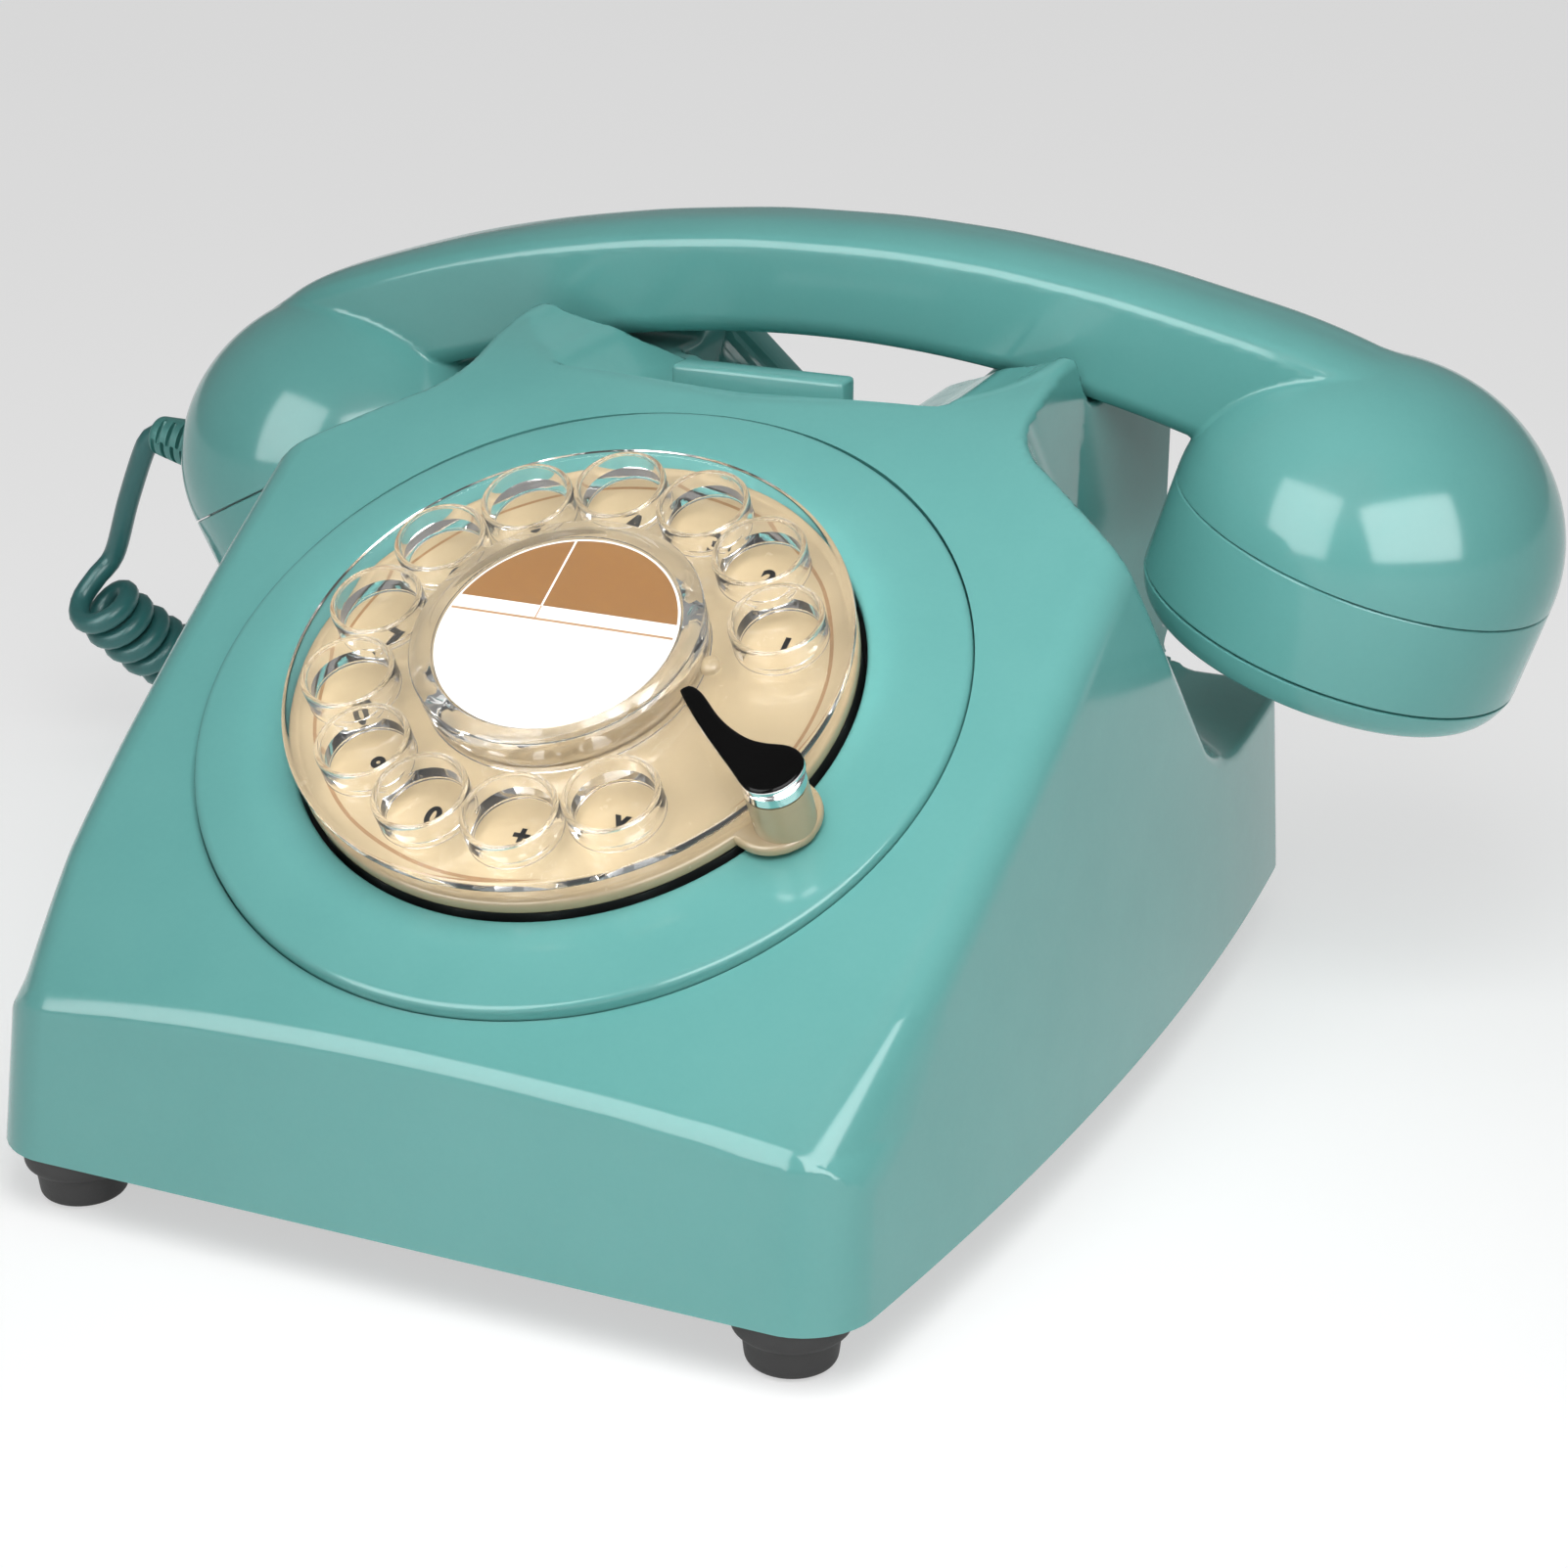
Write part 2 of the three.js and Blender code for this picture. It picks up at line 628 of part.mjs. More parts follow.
function makeDialFrame() {
  const body = ring(29, 4, -26, -24.4, 18);
  const pillars = [];
  const holes = [rod(2.2, -30, -20, pinionAt[0], pinionAt[1], 12)];
  for (let i = 0; i < 3; i += 1) {
    const [x, y] = at([25, 100, 265][i], 26);
    pillars.push(rod(2.2, -25, -12 - gap, x, y, 8));
    const [hx, hy] = at(i * 120 + 50, 19);
    if (i !== 1) holes.push(rod(5, -30, -20, hx, hy, 8));
  }
  const anchor = rod(0.9, -25, -19.6, 13.4, 0, 8);
  return cut(joined(body, pillars, anchor), holes);
}

function makeGovernor() {
  const list = gearOutline(pinionTeeth, toothSize).map(([x, y]) => {
    const a = rad(pinionAngle + 180);
    return [x * Math.cos(a) - y * Math.sin(a), x * Math.sin(a) + y * Math.cos(a)];
  });
  const pinion = plate(list, gearTop - gearThick, gearTop);
  const shaft = rod(1.6, -27.4, -12.6, 0, 0, 8);
  const arm = box(-6.4, 6.4, -1, 1, -22.6, -20);
  const weights = [-1, 1].map((s) => rod(1.9, -23.2, -19.4, s * 5.6, 0, 8));
  const cam = rod(4.6, -18.6, -17.4, 0, 0, 12).subtract(box(1.4, 6, 1.4, 6, -19, -17));
  const g = geometryOf(joined(pinion, shaft, arm, weights, cam));
  g.translate(pinionAt[0], pinionAt[1], 0);
  return solid(g);
}

function makeGovernorCup() {
  const body = turned([[2.2, -24.1], [9.6, -24.1], [9.6, -19], [8.3, -19], [8.3, -23.4],
    [2.2, -23.4], [2.2, -24.1]], 16);
  const g = geometryOf(body);
  g.translate(pinionAt[0], pinionAt[1], 0);
  return solid(g);
}

function makePulseContacts() {
  const [x, y] = at(pinionAngle - 62, 23.4);
  const block = box(x - 3.4, x + 3.4, y - 4.4, y + 4.4, -24.1, -17.6);
  const leaves = [0, 1, 2].map((i) => box(x - 2.8 + i * 2.4, x - 2.3 + i * 2.4, y - 13, y - 4,
    -18.8, -17.9));
  return joined(block, leaves);
}

// ---- hook switch ------------------------------------------------------------------
const towerY = barFront - 9;
const pivotZ = 84;
const legAt = 12;             // the bar's legs, and the lever's arms below them
const springY = (barFront + barBack) / 2;

function makeHookBar() {
  const ridge = alongX([[barFront, 93], [barBack, 93], [barBack, barTop - 0.7],
    [barBack - 0.7, barTop], [barFront + 0.7, barTop], [barFront, barTop - 0.7]],
  -barHalf, barHalf);
  const low = pocketFloor + barStroke + gap * 3;
  const tongue = box(-9, 9, barBack - 1, handsetY + 2, low, low + 2);
  const pad = alongX([[handsetY - 3.2, low + 1], [handsetY + 3.6, low + 1], [handsetY + 3.6, padTop - 0.7],
    [handsetY + 2.2, padTop], [handsetY - 2, padTop], [handsetY - 3.2, padTop - 0.7]], -4.4, 4.4);
  const legs = [-1, 1].map((s) => box(s * legAt - 1.6, s * legAt + 1.6, barFront + 1, barBack - 1,
    pivotZ + 0.8, 94));
  const seat = rod(2, 89.4, 94, 0, springY, 12);
  return joined(ridge, tongue, pad, legs, seat);
}

function makeHookTower() {
  const low = caseBottom + 2.3 + gap;
  const post = box(-15, 15, towerY - 1, towerY + 1, low, 81);
  const foot = box(-15, 15, towerY - 1, towerY + 6, low, low + 2);
  const shelf = box(-6, 6, towerY, barBack + 2, 68, 70);
  const seat = rod(2, 69, 73, 0, springY, 12);
  const lugs = [-1, 1].map((s) => alongX([[towerY - 3, 79], [towerY + 3, 79],
    [towerY + 3, pivotZ + 3], [towerY - 3, pivotZ + 3]], s * 14.2 - 0.8, s * 14.2 + 0.8));
  const bore = alongX(ringPoints(1.3, 10).map((p) => [p.x + towerY, p.y + pivotZ]), -20, 20);
  const relief = box(-8, 8, towerY - 4, towerY + 4, 30, 60);
  return cut(joined(post, foot, shelf, seat, lugs), bore, relief);
}

function makeHookLever() {
  const pin = alongX(ringPoints(1, 10).map((p) => [p.x + towerY, p.y + pivotZ]), -16.4, 16.4);
  const hub = alongX(ringPoints(2.2, 10).map((p) => [p.x + towerY, p.y + pivotZ]), -13, 13);
  const arms = [-1, 1].map((s) => alongX([[towerY, pivotZ - 1], [towerY + 13, pivotZ - 1.4],
    [towerY + 13, pivotZ + 0.1], [towerY, pivotZ + 1]], s * legAt - 1, s * legAt + 1));
  const tail = box(-3, 3, towerY - 11, towerY, pivotZ - 0.8, pivotZ + 0.8);
  return joined(pin, hub, arms, tail);
}

function makeHookContacts() {
  const block = box(-5, 5, towerY - 12, towerY - 1 - gap, 68, 76);
  const leaves = [0, 1, 2].map((i) => box(-3.4 + i * 2.9, -2.4 + i * 2.9, towerY - 10, towerY - 7,
    75, pivotZ - 1.2));
  return joined(block, leaves);
}

function makeHookSpring() {
  const list = [];
  const turns = 4;
  for (let i = 0; i <= turns * 6; i += 1) {
    const a = (i * Math.PI) / 3;
    list.push([3.2 * Math.cos(a), springY + 3.2 * Math.sin(a), mix(70.9, 92.2, i / (turns * 6))]);
  }
  return sweep(list, 0.5, 4, turns * 6);
}

// ---- bell ---------------------------------------------------------------------------
const bellY = depth - 38;
const gongX = 27.5;
const coilY = bellY - 24;
const bellZ = caseBottom + 4.4;

function makeGong(x) {
  const g = geometryOf(turned([[1.8, 11.6], [1.8, 12.8], [17, 10.6], [21, 6.4],
    [23, 0], [21.4, 0], [16.2, 9.6], [1.8, 11.6]], 18));
  g.translate(x, bellY, bellZ + 3);
  return solid(g);
}

function makeGongScrew(x) {
  const post = rod(3.6, bellZ + 0.3, bellZ + 14.2, x, bellY, 10);
  const neck = rod(1.5, bellZ + 14, bellZ + 17, x, bellY, 8);
  const head = rod(3.4, bellZ + 16.2, bellZ + 18, x, bellY, 10);
  return cut(joined(post, neck, head), box(x - 4, x + 4, bellY - 0.5, bellY + 0.5,
    bellZ + 17.2, bellZ + 19));
}

function makeRingerPlate() {
  const body = box(-34, 34, coilY - 5.4, bellY + 5, bellZ - 1.5, bellZ);
  const yoke = [-1, 1].map((s) => box(s * 12 - 1, s * 12 + 1, coilY - 5.4, coilY + 5.4,
    bellZ - 1, bellZ + 15));
  return cut(joined(body, yoke), [-9, 9].map((x) => rod(3, 0, 40, x, bellY - 3, 10)));
}

function makeRingerCoil() {
  const round = (r) => ringPoints(r, 14).map((p) => [p.x + coilY, p.y + bellZ + 8.2]);
  const bobbin = alongX(round(6.4), -8.4, 8.4);
  const cheeks = [-1, 1].map((s) => alongX(round(7.6), s * 9 - 1.4, s * 9 + 1.4));
  return joined(bobbin, cheeks);
}

function makeClapper() {
  const y = coilY + 8.9;
  const armature = box(-9.4, 9.4, y - 0.7, y + 0.7, bellZ + 6, bellZ + 11);
  const pivot = rod(1.2, bellZ + gap, bellZ + 12, 0, y, 8);
  const arm = box(-0.6, 0.6, y, bellY - 1, bellZ + 6.4, bellZ + 7.6);
  const ball = new THREE.SphereGeometry(2.6, 8, 6);
  ball.translate(0, bellY, bellZ + 7);
  return joined(armature, pivot, arm, solid(ball));
}

// ---- board and sockets --------------------------------------------------------------
function makeBoard() {
  const z = caseBottom + 6.6;
  const body = box(-40, 40, 44, 112, z, z + 1.6);
  const stands = [[-36, 48], [36, 48], [-36, 108], [36, 108]].map(([x, y]) => rod(2.6,
    caseBottom + 2.3 + gap, z + 0.5, x, y, 8));
  return body.add(joined(stands));
}

function makeBoardParts() {
  const z = caseBottom + 8.2 + gap;
  const coil = joined(box(-30, -8, 84, 104, z, z + 13), box(-26, -12, 80, 108, z, z + 9));
  return coil;
}

function makeTerminals() {
  const z = caseBottom + 8.2 + gap;
  const body = box(4, 36, 92, 102, z, z + 7);
  const heads = [];
  for (let i = 0; i < 5; i += 1) heads.push(rod(1.8, z + 6, z + 8.4, 8 + i * 6, 97, 6));
  return joined(body, heads);
}

function makeCapacitor() {
  const z = caseBottom + 8.2 + gap + 6;
  return alongX(ringPoints(6, 16).map((p) => [p.x + 72, p.y + z]), 2, 34);
}

function makeLineSocket() {
  const y = depth - 13;
  const body = box(28.3, 44.7, y, depth - 1.2, 18.3, 30.7);
  const stem = box(30, 43, y, y + 8, caseBottom + 2.3 + gap, 19);
  const bay = box(31, 42, depth - 9, depth + 4, 20.6, 28.6);
  const notch = box(34, 39, depth - 9, depth + 4, 19.4, 21);
  return cut(body.add(stem), bay, notch);
}

function makeCordGland() {
  const g = geometryOf(turned([[cordR + gap, -9], [6.4, -9], [6.4, -6.6], [4, -6.6], [4, 0.4],
    [5.6, 0.4], [5.2, 2.2], [3.4, 7], [cordR + gap, 7], [cordR + gap, -9]], 10));
  g.rotateX(-Math.PI / 2);
  g.translate(glandX, depth - rearLean * 11 + 0.4, glandZ);
  return solid(g);
}

// ---- handset ---------------------------------------------------------------------------
// Stations of the handle: place along it, height of its top, share of its full depth.
const topLine = [[-113, 100.6, 0.33], [-106, 106, 0.72], [-97, 109.6, 0.93], [-86, 113.2, 1],
  [-71.6, 117.5, 1], [-55.4, 121.1, 1], [-35, 124.4, 1], [-12, 126.6, 1], [12, 127, 1], [32, 125.8, 1],
  [55, 122.5, 1], [84, 116, 1], [96, 112, 0.94], [106, 108.2, 0.7], [114, 103, 0.33]];

function under(x) {
  return 106.6 - 9.9 * (x / 66) ** 2;
}

// Section of the handle: flat crowned top, upper crease, sloping face, round foot.
function handleRing(x, top, share) {
  const w = handleHalf * share;
  const bottom = Math.min(under(x), top - 8);
  const crease = top - 3;
  const half = [[0, top], [w * 0.7, top - 1], [w, crease], [w * 0.84, mix(crease, bottom, 0.76)],
    [w * 0.68, mix(crease, bottom, 0.94)], [w * 0.42, bottom]];
  return [...half.map(([y, z]) => [x, handsetY + y, z]),
    ...half.slice(1).reverse().map(([y, z]) => [x, handsetY - y, z])];
}

function handle() {
  return stacked(topLine.map(([x, z, share]) => handleRing(x, z, share)));
}

function cupMatrix(cup) {
  return new THREE.Matrix4().makeRotationY(rad(cup.lean) * cup.sign)
    .setPosition(cup.x, handsetY, cup.z);
}

function onCup(cup, body) {
  const g = geometryOf(body);
  g.applyMatrix4(cupMatrix(cup));
  return solid(g);
}

// The cord's boot leaves the mouthpiece dome low on its outer side.
const bootUp = rad(22.3);
const bootStart = new THREE.Vector3(-cupR * Math.cos(bootUp), 0, domeHigh * Math.sin(bootUp))
  .applyMatrix4(cupMatrix(mouthSide));
const bootTilt = rad(8);
const bootAim = new THREE.Vector3(-Math.cos(bootTilt), 0, Math.sin(bootTilt));

function onBoot(body) {
  const g = geometryOf(body);
  const turn = new THREE.Quaternion().setFromUnitVectors(new THREE.Vector3(0, 0, 1), bootAim);
  g.applyMatrix4(new THREE.Matrix4().compose(bootStart, turn, new THREE.Vector3(1, 1, 1)));
  return solid(g);
}

function dome(r, h, low, steps, sides) {
  const list = [[0, low], [r, low]];
  for (let i = 0; i <= steps; i += 1) {
    const a = (i * Math.PI) / (2 * steps);
    list.push([r * Math.cos(a), h * Math.sin(a)]);
  }
  list[list.length - 1][0] = 0;
  return turned(list, sides);
}

function makeHandset() {
  const sides = [earSide, mouthSide];
  const outer = joined(handle(), sides.map((c) => onCup(c, dome(cupR, domeHigh, -0.001, 5, cupSides))));
  const keep = cut(outer, sides.map((c) => onCup(c, rod(cupR + 12, -60, 0, 0, 0, 8))));
  const hollow = sides.map((c) => onCup(c, dome(cupR - shell, domeHigh - shell, -2, 3, cupSides / 2)));
  const duct = alongX([[-6, 111.6], [6, 111.6], [6, 121], [-6, 121]].map(([y, z]) => [handsetY + y, z]),
    -42, 38);
  const wires = [sweep([[-84, handsetY, 97], [-38, handsetY, 115]], 2, 8, 1),
    sweep([[80, handsetY, 100], [34, handsetY, 115]], 2, 8, 1)];
  const mouth = onBoot(rod(3.7, -12, 6, 0, 0, 12));
  return cut(keep, hollow, duct, wires, mouth);
}

function makeBand(cup) {
  return onCup(cup, ring(cupR, cupR - shell, -bandHigh, -gap, cupSides));
}

function makeCap(cup, holes) {
  const top = -bandHigh - gap;
  const low = top - lipHigh;
  const body = turned([[0, low + 1.2], [cupR - 12, low + 1.2], [cupR - 8, low], [cupR - 4, low],
    [cupR - 1, low + 2], [cupR, top], [cupR - 5, top], [cupR - 5, low + 3.4],
    [0, low + 3.4]], cupSides);
  const bores = holes.map(([x, y]) => rod(1.3, low - 2, top + 2, x, y, 6));
  return onCup(cup, cut(body, bores));
}

function roses(rows) {
  const list = [[0, 0]];
  for (const [count, r] of rows) {
    for (let i = 0; i < count; i += 1) list.push(at((i * 360) / count, r));
  }
  return list;
}

function makeCapsule(cup, r, thick) {
  const low = -bandHigh - gap - lipHigh + 3.4 + gap;
  return onCup(cup, turned([[0, low], [r, low], [r, low + thick * 0.6], [r * 0.7, low + thick],
    [0, low + thick]], 20));
}

function makeWeight() {
  return joined(box(-34, 30, handsetY - 4, handsetY + 4, 112.4, 118.6),
    box(-20, 16, handsetY - 4, handsetY + 4, 112.4, 119.4));
}

// ---- cord --------------------------------------------------------------------------------

function makeBoot() {
  const bore = cordR + gap * 1.4;
  const rows = [[bore, -5], [3.3, -5], [3.3, 1], [5, 1], [5, 2.8]];
  for (let i = 0; i < 3; i += 1) {
    const z = 2.8 + i * 3.1;
    rows.push([4 - i * 0.2, z], [4 - i * 0.2, z + 1.2], [4.7 - i * 0.25, z + 1.2],
      [4.5 - i * 0.25, z + 3.1]);
  }
  rows.push([bore, 12.1], [bore, -5]);
  return onBoot(turned(rows, 8));
}

const coilStart = new THREE.Vector3(-157.5, handsetY + 2.8, 32);
const coilNext = new THREE.Vector3(-153, handsetY + 13.3, 20);
const coilAim = coilNext.clone().sub(coilStart).normalize();

function makeLeadFromHandset() {
  const along = (d) => bootStart.clone().addScaledVector(bootAim, d).toArray();
  const before = (d) => coilStart.clone().addScaledVector(coilAim, -d).toArray();
  const [x, , z] = along(14);
  return sweep([along(2), along(5), along(8.5), along(12.2), [x - 3.6, handsetY + 0.3, z - 3.4],
    [-152, handsetY + 0.5, 50], [-157.4, handsetY + 0.2, 40.6], before(4), before(1), before(gap)], cordR, 8, 16);
}

function makeCurlyCord() {
  return sweep([coilStart.toArray(), coilNext.toArray(), [-143, 193, 10.4], [-124, 209, coilR + 0.6],
    [-98, 219, coilR + 0.6], [-66, 222, coilR + 0.6], [-40, 220, 10], [-26, 215, 14.4]], coilR, 8, 20);
}

function makeLeadToCase() {
  const y = depth - rearLean * 11 + 7.4;
  return sweep([[-25.7, 214.9, 14.5], [-23, 213.9, 15.3], [-18, 209.6, 19], [glandX, y, glandZ],
    [glandX, depth - 4, glandZ]],
    cordR, 8, 8);
}

// ---- assembly ------------------------------------------------------------------------------
const teal = { color: 0x63aca6, roughness: 0.22, metalness: 0 };
const cream = { color: 0xd9c49a, roughness: 0.35, metalness: 0 };
const clear = { color: 0xf2f2ee, roughness: 0.05, metalness: 0 };
const black = { color: 0x141414, roughness: 0.6, metalness: 0 };
const rubber = { color: 0x101010, roughness: 0.85, metalness: 0 };
const steel = { color: 0xa9adb0, roughness: 0.35, metalness: 1 };
const brass = { color: 0xc5a253, roughness: 0.35, metalness: 1 };
const mirror = { color: 0xdadada, roughness: 0.06, metalness: 1 };
const copper = { color: 0x9c5a34, roughness: 0.4, metalness: 1 };
const greenBoard = { color: 0x2f5a3a, roughness: 0.5, metalness: 0 };
const paper = { color: 0xf6f3ee, roughness: 0.7, metalness: 0 };
const cordTeal = { color: 0x2c6a68, roughness: 0.45, metalness: 0 };

const telephone = new THREE.Group();
const dial = new THREE.Group();
dial.rotation.x = dialTilt;
dial.position.copy(dialCentre);
telephone.add(dial);

function piece(name, body, look, parent = telephone) {
  const mesh = new THREE.Mesh(geometryOf(body), new THREE.MeshStandardMaterial(look));
  mesh.name = name;
  parent.add(mesh);
}

piece('case_shell', makeCase(), teal);
piece('base_plate', makeBase(), black);
const corners = ['front_left', 'front_right', 'rear_left', 'rear_right'];
corners.forEach((place, i) => {
  piece(`foot_${place}`, makeFoot(...footAt[i]), rubber);
  piece(`base_screw_${place}`, makeBaseScrew(...screwAt[i]), steel);
});

piece('dial_plate', makeDialPlate(), cream, dial);
piece('dial_cup', makeDialCup(), black, dial);
piece('finger_wheel', makeFingerWheel(), clear, dial);
piece('label_tray', makeLabelTray(), cream, dial);
piece('label_card', makeLabelCard(), paper, dial);
piece('label_cover', makeLabelCover(), clear, dial);
piece('finger_stop', makeFingerStop(), mirror, dial);
piece('dial_shaft', makeDialShaft(), steel, dial);
piece('main_gear', makeMainGear(), brass, dial);
piece('ratchet_wheel', makeRatchet(), steel, dial);
piece('return_spring', makeReturnSpring(), steel, dial);
piece('dial_frame', makeDialFrame(), steel, dial);
piece('governor', makeGovernor(), brass, dial);
piece('governor_cup', makeGovernorCup(), steel, dial);
piece('pulse_contacts', makePulseContacts(), black, dial);

piece('hook_bar', makeHookBar(), teal);
piece('hook_tower', makeHookTower(), steel);
piece('hook_lever', makeHookLever(), steel);
piece('hook_contacts', makeHookContacts(), black);
piece('hook_spring', makeHookSpring(), steel);

piece('ringer_plate', makeRingerPlate(), steel);
piece('gong_left', makeGong(-gongX), brass);
piece('gong_right', makeGong(gongX), brass);
piece('gong_screw_left', makeGongScrew(-gongX), steel);
piece('gong_screw_right', makeGongScrew(gongX), steel);
piece('ringer_coil', makeRingerCoil(), copper);
piece('clapper', makeClapper(), steel);

piece('circuit_board', makeBoard(), greenBoard);
piece('induction_coil', makeBoardParts(), copper);
piece('terminal_block', makeTerminals(), black);
piece('capacitor', makeCapacitor(), steel);
piece('line_socket', makeLineSocket(), black);
piece('cord_gland', makeCordGland(), cordTeal);

piece('handset_body', makeHandset(), teal);
piece('earpiece_band', makeBand(earSide), teal);
piece('earpiece_cap', makeCap(earSide, roses([[6, 7]])), teal);
piece('mouthpiece_band', makeBand(mouthSide), teal);
piece('mouthpiece_cap', makeCap(mouthSide, roses([[8, 9]])), teal);
piece('receiver_capsule', makeCapsule(earSide, 24, 12), steel);
piece('microphone_capsule', makeCapsule(mouthSide, 22, 9), black);
piece('handset_weight', makeWeight(), steel);
piece('cord_boot', makeBoot(), cordTeal);
piece('cord_lead_handset', makeLeadFromHandset(), cordTeal);
piece('curly_cord', makeCurlyCord(), cordTeal);
piece('cord_lead_case', makeLeadToCase(), cordTeal);

// The origin is the middle of the object's footprint, cord left out.
const size = new THREE.Box3();
telephone.updateMatrixWorld(true);
telephone.traverse((mesh) => {
  if (mesh.isMesh && !/^(cord_|curly)/.test(mesh.name)) size.expandByObject(mesh, true);
});
const shift = size.getCenter(new THREE.Vector3());
telephone.position.set(-shift.x, -shift.y, -size.min.z);

export default telephone;
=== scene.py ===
# Rotary desk telephone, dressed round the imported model. Metres in the row frame, +Z up, the dial faces -Y.
import bpy, bmesh, json, math
import numpy as np
from mathutils import Matrix, Vector


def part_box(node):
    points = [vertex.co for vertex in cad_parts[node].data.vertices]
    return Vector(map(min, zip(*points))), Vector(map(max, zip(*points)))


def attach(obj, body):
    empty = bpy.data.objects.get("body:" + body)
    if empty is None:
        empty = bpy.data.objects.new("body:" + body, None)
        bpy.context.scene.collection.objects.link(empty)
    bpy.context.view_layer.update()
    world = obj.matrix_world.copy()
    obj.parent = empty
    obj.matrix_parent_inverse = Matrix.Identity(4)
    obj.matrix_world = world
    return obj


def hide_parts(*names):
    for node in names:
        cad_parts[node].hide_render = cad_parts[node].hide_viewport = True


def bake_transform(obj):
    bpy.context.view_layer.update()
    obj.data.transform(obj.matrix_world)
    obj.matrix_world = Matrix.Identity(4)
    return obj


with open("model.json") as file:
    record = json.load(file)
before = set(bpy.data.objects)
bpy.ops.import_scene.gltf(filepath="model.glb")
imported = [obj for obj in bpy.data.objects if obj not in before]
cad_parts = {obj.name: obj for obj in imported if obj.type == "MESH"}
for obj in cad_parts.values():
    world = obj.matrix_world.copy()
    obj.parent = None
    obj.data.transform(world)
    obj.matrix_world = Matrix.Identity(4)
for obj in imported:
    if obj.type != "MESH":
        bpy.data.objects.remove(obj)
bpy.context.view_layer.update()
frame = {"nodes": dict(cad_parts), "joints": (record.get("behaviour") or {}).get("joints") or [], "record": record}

mm = 0.001
nodes = frame["nodes"]
joints = {joint["name"]: joint for joint in frame["joints"]}
scene = bpy.context.scene
scene.view_settings.view_transform = "Standard"  # colours as they are mixed


def say(stage):
    print("stage:", stage)


# frame facts: the case's own corner, and the dial's axis
caseLow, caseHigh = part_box("case_shell")
origin = Vector(((caseLow.x + caseHigh.x) / 2, caseLow.y, 0.0))  # middle of the front edge, on the floor
toRow = Matrix.Translation(origin) @ Matrix.Scale(mm, 4)  # from millimetres off that point
dialAxis = Vector(joints["dial_turn"]["axis"])
dialTilt = math.atan2(-dialAxis.y, dialAxis.z)
dialPlace = (toRow.inverted() @ Matrix.Translation(Vector(joints["dial_turn"]["pos_m"]))
             @ Matrix.Rotation(dialTilt, 4, "X") @ Matrix.Scale(mm, 4))  # millimetres again
handsetY = 163.7  # the handset lies across the case this far back


def local(x, y, z):  # a point given in millimetres from the middle of the case's front edge
    return toRow @ Vector((x, y, z))


# camera
camera = {
    "place": (203.94, -334.44, 232.91),  # millimetres from the case's front edge
    "turn": 23.709, "rise": 21.566, "roll": 0.196,  # degrees
    "lens": 71.48, "shift": (0.01897, 0.00139),
}


def makeCamera():
    data = bpy.data.cameras.new("camera")
    data.lens, data.sensor_width = camera["lens"], 36
    data.shift_x, data.shift_y = camera["shift"]
    data.clip_start, data.clip_end = 0.02, 30
    turn, rise, roll = (math.radians(camera[key]) for key in ("turn", "rise", "roll"))
    back = Vector((math.sin(turn) * math.cos(rise), -math.cos(turn) * math.cos(rise), math.sin(rise)))
    right = Vector((0, 0, 1)).cross(back).normalized()
    up = back.cross(right)
    right, up = (right * math.cos(roll) + up * math.sin(roll), up * math.cos(roll) - right * math.sin(roll))
    place = Matrix((right, up, back)).transposed().to_4x4()
    place.translation = local(*camera["place"])
    thing = bpy.data.objects.new("camera", data)
    thing.matrix_world = place
    scene.collection.objects.link(thing)
    scene.camera = thing


makeCamera()
say("camera")


# node materials
class Wire:  # a shader socket: arithmetic on it adds Math nodes
    def __init__(self, tree, socket):
        self.tree, self.socket = tree, socket

    def math(self, operation, *others, flip=False):
        node = self.tree.nodes.new("ShaderNodeMath")
        node.operation = operation
        values = [self, *others]
        if flip:
            values.reverse()
        for slot, value in zip(node.inputs, values):
            if isinstance(value, Wire):
                self.tree.links.new(value.socket, slot)
            else:
                slot.default_value = value
        return Wire(self.tree, node.outputs[0])

    def __add__(self, other): return self.math("ADD", other)
    def __radd__(self, other): return self.math("ADD", other, flip=True)
    def __sub__(self, other): return self.math("SUBTRACT", other)
    def __rsub__(self, other): return self.math("SUBTRACT", other, flip=True)
    def __mul__(self, other): return self.math("MULTIPLY", other)
    def __gt__(self, other): return self.math("GREATER_THAN", other)
    def __lt__(self, other): return self.math("LESS_THAN", other)
    def __pow__(self, other): return self.math("POWER", other)
    def __abs__(self): return self.math("ABSOLUTE")


